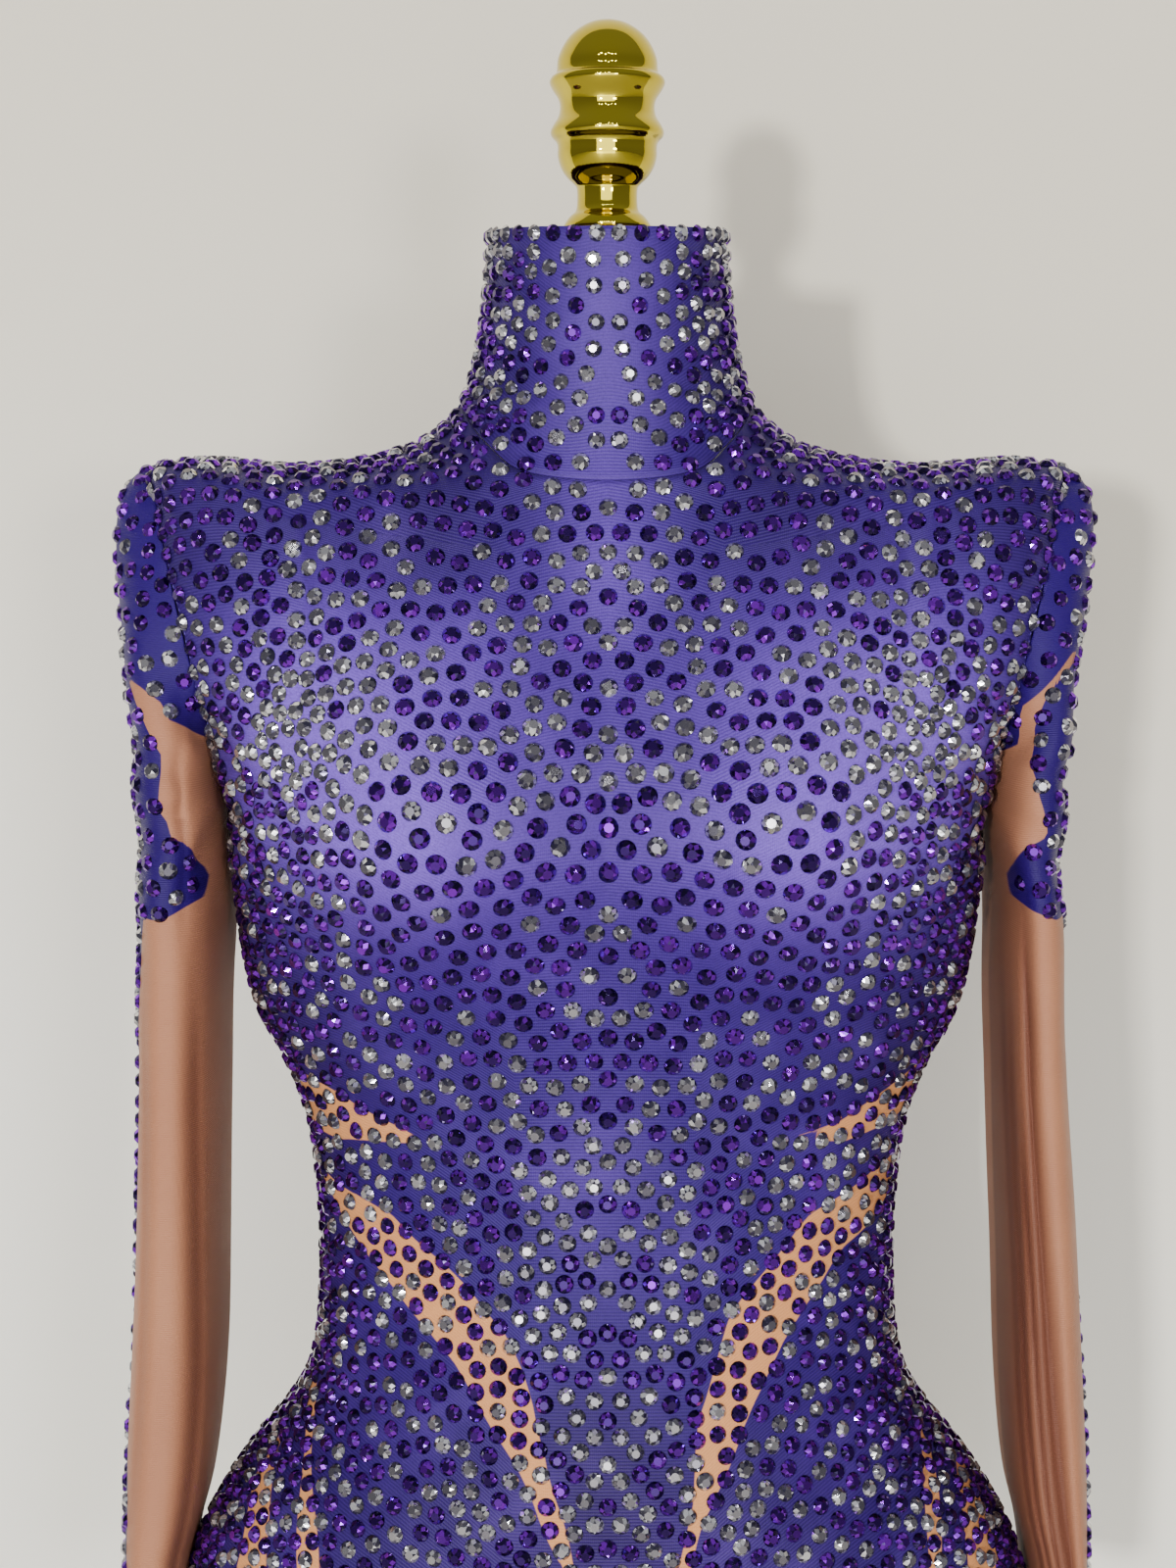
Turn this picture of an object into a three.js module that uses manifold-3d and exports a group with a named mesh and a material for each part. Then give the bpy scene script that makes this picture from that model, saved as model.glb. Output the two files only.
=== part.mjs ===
// A high-necked stage bodysuit with long sleeves and padded shoulders, worn by a limbless dress
// form on a counter stand with a turned finial. Sizes are in millimetres. +Z is up, -Y is the
// front, +X is the wearer's left. The origin is the middle of the stand's underside.
import * as THREE from "three";
import { mergeVertices } from "three/addons/utils/BufferGeometryUtils.js";
import Module from "manifold-3d";

// Cloth and clearances
const CLOTH = 1.2;
const SEAM_GAP = 0.3;
const NECK_GAP = 0.22;
const FORM_CLEAR = 2;

// Heights on the form
const FORM_BOTTOM = 300;
const TAB_BOTTOM = 314;
const HIP_HEM = 374;
const UNDERARM = 752;
const SHOULDER_TIP = 866;
const NECK_SIDE = 903;
const NECK_FRONT = 871;
const NECK_BACK = 907;
const FORM_NECK_TOP = 966;
const COLLAR_SIDE = 974;
const COLLAR_FRONT = 971.5;
const COLLAR_BACK = 977;

// The worn bodysuit's outer face, one row for each level. side is the half width, front and back
// are how far it reaches from the middle plane, and power is 2 for an ellipse and more for a
// boxier ring.
const BODY = [
  { z: 296, side: 160, front: 62, back: 92, power: 2.3 },
  { z: 335, side: 177, front: 82, back: 111, power: 2.3 },
  { z: 362, side: 185.5, front: 90, back: 118, power: 2.25 },
  { z: 387, side: 185.5, front: 95, back: 121, power: 2.2 },
  { z: 405, side: 180, front: 97, back: 121, power: 2.15 },
  { z: 424, side: 170, front: 98.5, back: 119, power: 2.15 },
  { z: 442, side: 158, front: 99, back: 115.5, power: 2.1 },
  { z: 460, side: 143.5, front: 98.5, back: 110.5, power: 2.05 },
  { z: 478, side: 132, front: 97, back: 104, power: 2.05 },
  { z: 500, side: 126, front: 94, back: 95, power: 2.1 },
  { z: 525, side: 124, front: 90, back: 85, power: 2.15 },
  { z: 555, side: 124, front: 86.5, back: 77, power: 2.2 },
  { z: 585, side: 126.5, front: 85.5, back: 74, power: 2.2 },
  { z: 607, side: 131, front: 86, back: 75, power: 2.25 },
  { z: 627, side: 139.5, front: 88, back: 77.5, power: 2.3 },
  { z: 646, side: 149, front: 90.5, back: 80.5, power: 2.35 },
  { z: 668, side: 154.5, front: 93, back: 84, power: 2.4 },
  { z: 700, side: 158, front: 95.5, back: 88, power: 2.5 },
  { z: 735, side: 161, front: 97, back: 92, power: 2.6 },
  { z: 760, side: 166, front: 94, back: 94, power: 3.0 },
  { z: 790, side: 174.5, front: 86, back: 93, power: 3.8 },
  { z: 825, side: 183, front: 75.5, back: 88, power: 4.6 },
  { z: 850, side: 187.5, front: 67.5, back: 81, power: 4.4 },
  { z: 864, side: 188.5, front: 62.5, back: 74.5, power: 3.5 },
  { z: 870, side: 166, front: 60.5, back: 70, power: 2.6 },
  { z: 874, side: 140, front: 59, back: 66, power: 2.2 },
  { z: 877.5, side: 115, front: 58, back: 62, power: 1.95 },
  { z: 880.5, side: 98, front: 57.3, back: 59, power: 1.9 },
  { z: 885, side: 83, front: 56.5, back: 56, power: 1.9 },
  { z: 894, side: 68.5, front: 55.6, back: 51.5, power: 1.95 },
  { z: 904, side: 61, front: 54.8, back: 48.5, power: 2 },
  { z: 914, side: 57, front: 54.2, back: 46.5, power: 2 },
  { z: 930, side: 53.3, front: 53.8, back: 44.5, power: 2 },
  { z: 947, side: 51, front: 54, back: 43, power: 2 },
  { z: 965, side: 49.6, front: 55, back: 42, power: 2 },
  { z: 990, side: 48, front: 56.5, back: 41, power: 2 },
];

// Bust: the middle of each cup, its rise, and how far it spreads across, up and down
const BUST = { x: 76, z: 733, rise: 33, across: 54, up: 74, down: 54 };
const BUST_BRIDGE = { rise: 11, across: 42, up: 62, down: 48 };

// Shoulder pads: how far they lift the shoulder's end, and where the lift starts and ends
const PAD = { lift: 12, inner: 120, outer: 188, low: 800, high: 862 };

// Armhole: its widest, as a share of the way from the side to the middle of the front
const ARMHOLE_SHARE = 0.22;
const ARMHOLE_STEPS = 10;

// The leg opening leaves a tab at the crotch, front and back
const FRONT_TAB = { share: 0.8, bend: 1.8 };
const BACK_TAB = { share: 0.74, bend: 2.2 };

const mm = (x, y, z) => new THREE.Vector3(x, y, z);

function smooth(low, high, value) {
  return THREE.MathUtils.smoothstep(value, low, high);
}

// One column of a table at a height, on a smooth curve through its rows.
function column(rows, name, z) {
  const last = rows.length - 1;
  const at = THREE.MathUtils.clamp(z, rows[0].z, rows[last].z);
  let i = 0;
  while (i < last - 1 && at > rows[i + 1].z) i += 1;
  const slope = (k) => {
    const a = rows[Math.max(k - 1, 0)];
    const b = rows[Math.min(k + 1, last)];
    return (b[name] - a[name]) / (b.z - a.z);
  };
  const span = rows[i + 1].z - rows[i].z;
  const t = (at - rows[i].z) / span;
  const [t2, t3] = [t * t, t * t * t];
  return (
    (2 * t3 - 3 * t2 + 1) * rows[i][name] +
    (t3 - 2 * t2 + t) * span * slope(i) +
    (3 * t2 - 2 * t3) * rows[i + 1][name] +
    (t3 - t2) * span * slope(i + 1)
  );
}

// A quarter of the ring at a height, from the side to the middle, as points with the share of
// its length that lies behind each.
const ringCache = new Map();
function quarterRing(z, facing) {
  const key = z.toFixed(4) + facing;
  if (ringCache.has(key)) return ringCache.get(key);
  const steps = 90;
  const side = column(BODY, "side", z);
  const reach = column(BODY, facing < 0 ? "front" : "back", z);
  const power = 2 / column(BODY, "power", z);
  const points = [];
  let length = 0;
  for (let i = 0; i <= steps; i += 1) {
    const turn = (i / steps) * (Math.PI / 2);
    const x = side * Math.max(Math.cos(turn), 0) ** power;
    const y = reach * Math.sin(turn) ** power;
    if (i) length += Math.hypot(x - points[i - 1].x, y - points[i - 1].y);
    points.push({ x, y, length });
  }
  points.forEach((p) => (p.share = p.length / length));
  ringCache.set(key, points);
  return points;
}

function bust(x, z) {
  const cup = (b, dx) => {
    const dz = z - BUST.z;
    const tall = dz > 0 ? b.up : b.down;
    return b.rise * Math.exp(-((dx / b.across) ** 2) - (dz / tall) ** 2);
  };
  return cup(BUST, Math.abs(x) - BUST.x) + cup(BUST_BRIDGE, x);
}

// A point of the bodysuit's outer face. side is 1 on the wearer's left and -1 on the right,
// facing is -1 in front and 1 behind, and share runs from 0 at the side to 1 at the middle.
function skin(side, facing, share, z, padded = true) {
  const ring = quarterRing(z, facing);
  let i = 1;
  while (i < ring.length - 1 && ring[i].share < share) i += 1;
  const [a, b] = [ring[i - 1], ring[i]];
  const t = THREE.MathUtils.clamp((share - a.share) / (b.share - a.share), 0, 1);
  const x = a.x + (b.x - a.x) * t;
  let y = a.y + (b.y - a.y) * t;
  if (facing < 0) y += bust(x, z) * smooth(0, 60, y);
  const lift = padded
    ? PAD.lift * smooth(PAD.inner, PAD.outer, x) * smooth(PAD.low, PAD.high, z)
    : 0;
  return mm(side * x, facing * y, z + lift);
}

// The way out of that face. On a side or shoulder seam it has no part towards front or back, so
// that the two panels meet square.
function skinOut(side, facing, share, z, padded = true) {
  const step = 0.004;
  const s0 = Math.max(share - step, 0);
  const s1 = Math.min(share + step, 1);
  const rise = z > UNDERARM ? 0.8 : 2;
  const across = skin(side, facing, s1, z, padded).sub(
    skin(side, facing, s0, z, padded),
  );
  const up = skin(side, facing, share, z + rise, padded).sub(
    skin(side, facing, share, z - rise, padded),
  );
  const out = across.cross(up).multiplyScalar(side * facing);
  if (share > 0.999) out.x = 0;
  if (share < 0.01) out.y = 0;
  return out.normalize();
}

// A closed wall from a grid of outer points and a grid of inner points. A round wall joins its
// last column to its first.
function wall(outer, inner, round) {
  const rows = outer.length;
  const cols = outer[0].length;
  const points = [...outer.flat(), ...inner.flat()];
  const inside = rows * cols;
  const faces = [];
  const quad = (a, b, c, d) => faces.push(a, b, c, a, c, d);
  const at = (r, c) => r * cols + (c % cols);
  const spans = round ? cols : cols - 1;
  for (let r = 0; r < rows - 1; r += 1) {
    for (let c = 0; c < spans; c += 1) {
      const [a, b, d, e] = [at(r, c), at(r, c + 1), at(r + 1, c + 1), at(r + 1, c)];
      quad(a, b, d, e);
      quad(inside + e, inside + d, inside + b, inside + a);
    }
  }
  for (let c = 0; c < spans; c += 1) {
    const [a, b] = [at(0, c), at(0, c + 1)];
    const [d, e] = [at(rows - 1, c), at(rows - 1, c + 1)];
    quad(b, a, inside + a, inside + b);
    quad(d, e, inside + e, inside + d);
  }
  for (let r = 0; r < rows - 1 && !round; r += 1) {
    const [a, b] = [at(r, 0), at(r + 1, 0)];
    const [d, e] = [at(r, cols - 1), at(r + 1, cols - 1)];
    quad(a, b, inside + b, inside + a);
    quad(e, d, inside + d, inside + e);
  }
  const geometry = new THREE.BufferGeometry().setFromPoints(points);
  geometry.setIndex(faces);
  return facingOut(geometry);
}

// Turns a closed geometry round if its faces point inwards.
function facingOut(geometry) {
  const p = geometry.getAttribute("position");
  const index = geometry.index.array;
  const [a, b, c] = [mm(0, 0, 0), mm(0, 0, 0), mm(0, 0, 0)];
  let volume = 0;
  for (let i = 0; i < index.length; i += 3) {
    a.fromBufferAttribute(p, index[i]);
    b.fromBufferAttribute(p, index[i + 1]);
    c.fromBufferAttribute(p, index[i + 2]);
    volume += a.dot(b.cross(c));
  }
  if (volume < 0) {
    for (let i = 0; i < index.length; i += 3) {
      [index[i + 1], index[i + 2]] = [index[i + 2], index[i + 1]];
    }
  }
  return geometry;
}

// Outer and inner grids of a panel on the skin, from a list of rows of places.
function panelGrids(places, thickness) {
  const outer = [];
  const inner = [];
  for (const row of places) {
    const points = row.map((p) => skin(p.side, p.facing, p.share, p.z));
    outer.push(points);
    inner.push(
      points.map((point, i) => {
        const p = row[i];
        const out = skinOut(p.side, p.facing, p.share, p.z);
        return point.clone().addScaledVector(out, -thickness);
      }),
    );
  }
  return [outer, inner];
}

function neckSeam(share, facing) {
  const middle = facing < 0 ? NECK_FRONT : NECK_BACK;
  return THREE.MathUtils.lerp(NECK_SIDE, middle, smooth(0, 1, share));
}

function hem(share, facing) {
  const tab = facing < 0 ? FRONT_TAB : BACK_TAB;
  const rise = 1 - Math.min(share / tab.share, 1) ** tab.bend;
  return THREE.MathUtils.lerp(TAB_BOTTOM, HIP_HEM, rise);
}

// Above the underarm a level is a share of the way to the neck seam, and below it a share of
// the way down to the hem.
function heightAbove(level, share, facing) {
  return UNDERARM + level * (neckSeam(share, facing) - NECK_GAP - UNDERARM);
}

function heightBelow(level, share, facing) {
  return UNDERARM - level * (UNDERARM - hem(share, facing));
}

const TIP_LEVEL = (SHOULDER_TIP - UNDERARM) / (NECK_SIDE - UNDERARM);

// How far round from the side the armhole's edge lies, at a level above the underarm.
function armholeShare(level) {
  if (level <= 0 || level >= TIP_LEVEL) return 0;
  return ARMHOLE_SHARE * Math.sqrt(Math.sin((Math.PI * level) / TIP_LEVEL));
}

// The armhole's edge at an angle of the sleeve: 0 at the shoulder's tip, 180 at the underarm.
function armholeLevel(turn) {
  return (TIP_LEVEL * (1 + Math.cos(turn))) / 2;
}

function panelLevels(lowRows, ridgeRows) {
  const levels = [];
  for (let i = lowRows; i >= 1; i -= 1) levels.push({ below: (i / lowRows) ** 1.2 });
  for (let i = ARMHOLE_STEPS; i >= 0; i -= 1) {
    levels.push({ above: armholeLevel((Math.PI * i) / ARMHOLE_STEPS) });
  }
  for (let i = 1; i <= ridgeRows; i += 1) {
    levels.push({ above: TIP_LEVEL + ((1 - TIP_LEVEL) * i) / ridgeRows });
  }
  return levels;
}

const EDGE_SHARE = 0.0016;
const ZIP_SHARE = 0.0018;
const LOW_ROWS = 21;
const RIDGE_ROWS = 5;

function place(side, facing, share, level) {
  const z =
    level.below !== undefined
      ? heightBelow(level.below, share, facing)
      : heightAbove(level.above, share, facing);
  return { side, facing, share, z };
}

function edgeShare(level) {
  return Math.max(level.above ? armholeShare(level.above) : 0, EDGE_SHARE);
}

// One half of a front or back, as columns from its side edge to the middle.
function halfRow(side, facing, level, count, middle) {
  const edge = edgeShare(level);
  const row = [];
  for (let i = 0; i <= count; i += 1) {
    row.push(place(side, facing, edge + ((middle - edge) * i) / count, level));
  }
  return row;
}

function frontPanel() {
  const half = 11;
  const rows = panelLevels(LOW_ROWS, RIDGE_ROWS).map((level) => [
    ...halfRow(-1, -1, level, half, 1),
    ...halfRow(1, -1, level, half, 1).slice(0, -1).reverse(),
  ]);
  return wall(...panelGrids(rows, CLOTH), false);
}

function backPanel(side) {
  const middle = 1 - ZIP_SHARE;
  const rows = panelLevels(LOW_ROWS, RIDGE_ROWS).map((level) =>
    halfRow(side, 1, level, 9, middle),
  );
  return wall(...panelGrids(rows, CLOTH), false);
}

function collarTop(share, facing) {
  const middle = facing < 0 ? COLLAR_FRONT : COLLAR_BACK;
  return THREE.MathUtils.lerp(COLLAR_SIDE, middle, smooth(0, 1, share));
}

function standCollar() {
  const quarter = 8;
  const rows = 5;
  const round = [];
  for (let i = 0; i <= 4 * quarter; i += 1) {
    const part = Math.floor(Math.min(i, 4 * quarter - 1) / quarter);
    const t = i / quarter - part;
    const side = part < 2 ? 1 : -1;
    const facing = part === 0 || part === 3 ? 1 : -1;
    const share = part % 2 ? t : 1 - t;
    const open = facing > 0 ? Math.min(share, 1 - 3 * ZIP_SHARE) : share;
    round.push({ side, facing, share: open });
  }
  const places = [];
  for (let r = 0; r <= rows; r += 1) {
    places.push(
      round.map((p) => {
        const low = neckSeam(p.share, p.facing) + NECK_GAP;
        const high = collarTop(p.share, p.facing);
        return { ...p, z: THREE.MathUtils.lerp(low, high, r / rows) };
      }),
    );
  }
  return wall(...panelGrids(places, CLOTH), false);
}

// The crotch tabs turn under the form's bottom edge and end beside the pole, unfastened.
const GUSSET = { half: 34, roll: 13, gapToPole: 23, low: FORM_BOTTOM - 0.7 };

function gusset(facing) {
  const cols = 6;
  const rolled = 4;
  const flat = 3;
  const outer = [];
  const inner = [];
  for (let r = 0; r <= rolled + flat; r += 1) {
    const outerRow = [];
    const innerRow = [];
    for (let c = 0; c <= cols; c += 1) {
      const x = GUSSET.half * ((2 * c) / cols - 1);
      const edge = Math.abs(edgeReach(x, facing));
      const top = TAB_BOTTOM - SEAM_GAP;
      const turn = (Math.min(r, rolled) / rolled) * (Math.PI / 2);
      const along = Math.max(r - rolled, 0) / flat;
      const drop = top - GUSSET.low + CLOTH;
      const y = edge - GUSSET.roll * (1 - Math.cos(turn));
      const flatY = THREE.MathUtils.lerp(y, GUSSET.gapToPole, along);
      const z = top - drop * Math.sin(turn);
      const out = mm(0, facing * Math.cos(turn), -Math.sin(turn)).normalize();
      const point = mm(x, facing * flatY, z);
      outerRow.push(point);
      innerRow.push(point.clone().addScaledVector(out, -CLOTH));
    }
    outer.push(outerRow);
    inner.push(innerRow);
  }
  return wall(outer, inner, false);
}

// How far the skin reaches at the tab's lower edge, at a distance from the middle.
function edgeReach(x, facing) {
  const side = column(BODY, "side", TAB_BOTTOM);
  const reach = column(BODY, facing < 0 ? "front" : "back", TAB_BOTTOM);
  const power = column(BODY, "power", TAB_BOTTOM);
  return reach * (1 - (Math.abs(x) / side) ** power) ** (1 / power);
}

// Sleeves. One row for each level: inner and outer are the distances of its two faces from the
// middle of the form, deep is its half depth, and mid is its middle from front to back.
const SLEEVE = [
  { z: 300, inner: 187.6, outer: 211.5, deep: 40, mid: 4 },
  { z: 345, inner: 188, outer: 212, deep: 43, mid: 5 },
  { z: 380, inner: 187.6, outer: 212, deep: 45, mid: 6 },
  { z: 402, inner: 184.5, outer: 212, deep: 46.5, mid: 6 },
  { z: 425, inner: 178.5, outer: 211.5, deep: 48, mid: 6 },
  { z: 455, inner: 174, outer: 210, deep: 49, mid: 6 },
  { z: 490, inner: 171, outer: 207.5, deep: 51, mid: 6 },
  { z: 540, inner: 169.5, outer: 204, deep: 53, mid: 5 },
  { z: 600, inner: 168, outer: 201, deep: 55, mid: 4 },
  { z: 660, inner: 166, outer: 199, deep: 57, mid: 3 },
  { z: 705, inner: 164.5, outer: 197.5, deep: 58.5, mid: 3 },
  { z: 732, inner: 164, outer: 197.5, deep: 59, mid: 3 },
];
const SLEEVE_TOP = 732;
const CUFF = 300;
const SLEEVE_POWER = 2.5;

// The left sleeve's outer face lies closer in at the upper arm.
const UPPER_ARM_DIP = { z: 722, depth: 6, spread: 55 };

// Folds that run down a sleeve: turn is where it lies round the sleeve (90 is the front edge),
// depth is its depth, wide its half width in degrees, and it runs from low to high.
const LEFT_FOLDS = [
  { turn: 72, depth: 7, wide: 11, low: 300, high: 690 },
  { turn: 108, depth: 6, wide: 11, low: 300, high: 640 },
  { turn: 252, depth: 4, wide: 13, low: 330, high: 660 },
];
const RIGHT_FOLDS = [
  { turn: 126, depth: 4, wide: 14, low: 320, high: 700 },
  { turn: 270, depth: 4, wide: 12, low: 340, high: 640 },
];

function sleeveRing(side, turn, z, folds) {
  const inner = column(SLEEVE, "inner", z);
  const dip = side > 0 ? UPPER_ARM_DIP.depth : 0;
  const fromDip = (z - UPPER_ARM_DIP.z) / UPPER_ARM_DIP.spread;
  const outer = column(SLEEVE, "outer", z) - dip * Math.exp(-fromDip * fromDip);
  const deep = column(SLEEVE, "deep", z);
  const mid = column(SLEEVE, "mid", z);
  const c = Math.cos(turn);
  const s = Math.sin(turn);
  const power = 2 / SLEEVE_POWER;
  const degrees = THREE.MathUtils.radToDeg(turn);
  let shrink = 0;
  for (const fold of folds) {
    const off = (degrees - fold.turn) / fold.wide;
    const ends =
      smooth(fold.low - 40, fold.low + 60, z) *
      (1 - smooth(fold.high - 90, fold.high, z));
    shrink += fold.depth * Math.exp(-off * off) * ends;
  }
  const half = (outer - inner) / 2;
  const x = (inner + outer) / 2 + half * Math.sign(c) * Math.abs(c) ** power;
  const y = mid - (deep - shrink) * Math.sign(s) * Math.abs(s) ** power;
  return mm(side * x, y, z);
}

// The cap rises from the sleeve's highest ring and turns in over the pad to the armhole.
const CAP = { bulge: 3.5, steep: 2.2, inward: 66, gap: 0.35 };

function capPoint(side, turn, t, folds) {
  const start = sleeveRing(side, turn, SLEEVE_TOP, folds);
  const level = armholeLevel(turn);
  const facing = Math.sin(turn) >= 0 ? -1 : 1;
  const share = Math.max(armholeShare(level), EDGE_SHARE);
  const end = skin(side, facing, share, heightAbove(level, share, facing));
  end.x += side * CAP.gap;
  const high = (1 + Math.cos(turn)) / 2;
  if (high < 0.02) end.z += CAP.gap;
  const rise = end.z - start.z;
  const top = high * high;
  const up = mm(0, 0, rise * THREE.MathUtils.lerp(1, CAP.steep, top));
  const inward = mm(-side * THREE.MathUtils.lerp(4, CAP.inward, top), 0, rise * (1 - top) * 0.8);
  const bulge = mm(side * CAP.bulge * 4 * t * (1 - t) * high, 0, 0);
  const [t2, t3] = [t * t, t * t * t];
  return bulge
    .addScaledVector(start, 2 * t3 - 3 * t2 + 1)
    .addScaledVector(up, t3 - 2 * t2 + t)
    .addScaledVector(end, 3 * t2 - 2 * t3)
    .addScaledVector(inward, t3 - t2);
}

// A sleeve runs from 0 at the cuff to 1 at its highest ring and 2 at the armhole.
function sleevePoint(side, turn, run, folds) {
  if (run > 1) return capPoint(side, turn, run - 1, folds);
  return sleeveRing(side, turn, THREE.MathUtils.lerp(CUFF, SLEEVE_TOP, run), folds);
}

function sleeve(side, folds) {
  const tubeRows = 15;
  const capRows = 8;
  const around = 2 * ARMHOLE_STEPS;
  const outer = [];
  const inner = [];
  for (let r = 0; r <= tubeRows + capRows; r += 1) {
    const run = r <= tubeRows ? r / tubeRows : 1 + (r - tubeRows) / capRows;
    const outerRow = [];
    const innerRow = [];
    for (let c = 0; c < around; c += 1) {
      const turn = (2 * Math.PI * c) / around;
      const point = sleevePoint(side, turn, run, folds);
      const [dt, dr] = [0.05, 0.02];
      const low = Math.max(run - dr, 0);
      const high = Math.min(run + dr, 2);
      const across = sleevePoint(side, turn + dt, run, folds).sub(
        sleevePoint(side, turn - dt, run, folds),
      );
      const up = sleevePoint(side, turn, high, folds).sub(
        sleevePoint(side, turn, low, folds),
      );
      const out = across.cross(up).multiplyScalar(-side).normalize();
      outerRow.push(point);
      innerRow.push(point.clone().addScaledVector(out, -CLOTH));
    }
    outer.push(outerRow);
    inner.push(innerRow);
  }
  return wall(outer, inner, true);
}

// The dress form: the same body without pads or cloth, closed over its arm ends, with its
// bottom edge rolled under.
const FORM_ARM_END = 163;
const BOTTOM_ROLL = 12;

function formPoint(side, facing, share, z) {
  const inset = CLOTH + FORM_CLEAR;
  const point = skin(side, facing, share, z, false);
  const out = skinOut(side, facing, share, z, false);
  if (z <= FORM_BOTTOM + BOTTOM_ROLL) out.z = 0;
  point.addScaledVector(out.normalize(), -inset);
  const end = FORM_ARM_END * THREE.MathUtils.lerp(1, 0.97, smooth(780, 868, z));
  const over = Math.abs(point.x) - (end - 14);
  if (over > 0 && z > 690) {
    point.x = Math.sign(point.x) * (end - 14 * Math.exp(-over / 14));
  }
  return point;
}

function dressForm() {
  const quarter = 8;
  const levels = [
    300, 303.5, 312, 335, 360, 383, 402, 420, 438, 455, 472, 490, 510, 535, 560, 585, 606, 624,
    642, 662, 685, 710, 735, 758, 785, 812, 835, 852, 864, 870, 874, 878, 883, 891, 901, 915, 940,
    966,
  ];
  const rings = levels.map((z) => {
    const depth = Math.max(FORM_BOTTOM + BOTTOM_ROLL - z, 0) / BOTTOM_ROLL;
    const roll = BOTTOM_ROLL * (1 - Math.sqrt(1 - depth * depth));
    const row = [];
    for (let c = 0; c < 4 * quarter; c += 1) {
      const part = Math.floor(c / quarter);
      const t = c / quarter - part;
      const side = part === 0 || part === 3 ? 1 : -1;
      const facing = part < 2 ? -1 : 1;
      const share = part % 2 ? 1 - t : t;
      const point = formPoint(side, facing, share, Math.max(z, FORM_BOTTOM + BOTTOM_ROLL));
      const flat = Math.hypot(point.x, point.y);
      point.x *= 1 - roll / flat;
      point.y *= 1 - roll / flat;
      if (z < FORM_BOTTOM + BOTTOM_ROLL || z === FORM_NECK_TOP) point.z = z;
      row.push(point);
    }
    return row;
  });
  return capped(rings);
}

// A closed solid from rings of points, with a flat fan over each end.
function capped(rings) {
  const cols = rings[0].length;
  const points = rings.flat();
  const faces = [];
  for (let r = 0; r < rings.length - 1; r += 1) {
    for (let c = 0; c < cols; c += 1) {
      const next = (c + 1) % cols;
      const [a, b] = [r * cols + c, r * cols + next];
      faces.push(a, b, b + cols, a, b + cols, a + cols);
    }
  }
  for (const ring of [0, rings.length - 1]) {
    const middle = new THREE.Vector3();
    rings[ring].forEach((p) => middle.addScaledVector(p, 1 / cols));
    const centre = points.push(middle) - 1;
    for (let c = 0; c < cols; c += 1) {
      const [a, b] = [ring * cols + c, ring * cols + ((c + 1) % cols)];
      if (ring) faces.push(a, b, centre);
      else faces.push(b, a, centre);
    }
  }
  const geometry = new THREE.BufferGeometry().setFromPoints(points);
  geometry.setIndex(faces);
  return facingOut(geometry);
}

// A turned piece from a profile of [radius, height] pairs that starts and ends on the axis.
function turned(profile, segments) {
  const points = profile.map(([r, z]) => new THREE.Vector2(r, z));
  return new THREE.LatheGeometry(points, segments).rotateX(Math.PI / 2);
}

// Finial, measured from the top of the neck cap
const NECK_MIDDLE = -7;
const NECK_CAP = { low: FORM_NECK_TOP + SEAM_GAP, radius: 43, high: 974.5 };
const FINIAL_LOW = NECK_CAP.high + SEAM_GAP;
const FINIAL_PROFILE = [
  { r: 18, z: 0 },
  { r: 18, z: 2 },
  { r: 15.8, z: 5.2 },
  { r: 13.4, z: 7.4 },
  { r: 12.7, z: 9.6 },
  { r: 12.7, z: 17 },
  { r: 13.8, z: 18.6 },
  { r: 16.6, z: 21.2 },
  { r: 19.2, z: 25 },
  { r: 20.6, z: 29.6 },
  { r: 20.7, z: 34.2 },
  { r: 21.4, z: 36 },
  { r: 23.2, z: 38 },
  { r: 23.6, z: 39.8 },
  { r: 22.8, z: 42 },
  { r: 20.4, z: 46 },
  { r: 19.7, z: 49.7 },
  { r: 20.3, z: 53 },
  { r: 22.8, z: 57 },
  { r: 24, z: 59.6 },
  { r: 23.4, z: 61.6 },
  { r: 21.3, z: 63.6 },
  { r: 20.6, z: 69.2 },
  { r: 18.4, z: 74.6 },
  { r: 14.9, z: 79.2 },
  { r: 9.6, z: 83 },
];
const FINIAL_HEIGHT = 85.2;

function finial() {
  const turnedPoints = FINIAL_PROFILE.map((p) => [p.r, FINIAL_LOW + p.z]);
  const top = [0, FINIAL_LOW + FINIAL_HEIGHT];
  return turned([[0, FINIAL_LOW], ...turnedPoints, top], 24).translate(0, NECK_MIDDLE, 0);
}

function neckCap() {
  const { low, radius, high } = NECK_CAP;
  return turned(
    [
      [0, low],
      [radius, low],
      [radius, low + 1.6],
      [radius - 10, low + 4.2],
      [18.2, high],
      [0, high],
    ],
    24,
  ).translate(0, NECK_MIDDLE, 0);
}

// Stand
const BASE = { radius: 150, edge: 9, boss: 22, height: 38 };
const POLE_RADIUS = 14;
const SOCKET = { radius: 19, height: 34 };

function standBase() {
  const { radius, edge, boss, height } = BASE;
  return turned(
    [
      [0, 0],
      [radius - 2, 0],
      [radius, 2],
      [radius, edge - 2],
      [radius - 3, edge],
      [radius - 40, edge + 5],
      [boss + 24, edge + 9],
      [boss + 6, edge + 14],
      [boss, edge + 20],
      [boss, height - 1.5],
      [boss - 1.5, height],
      [0, height],
    ],
    36,
  );
}

function standPole() {
  const low = BASE.height + SEAM_GAP;
  const high = FORM_BOTTOM - SOCKET.height - 2 * SEAM_GAP;
  return turned(
    [
      [0, low],
      [POLE_RADIUS, low],
      [POLE_RADIUS, high],
      [0, high],
    ],
    24,
  );
}

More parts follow.
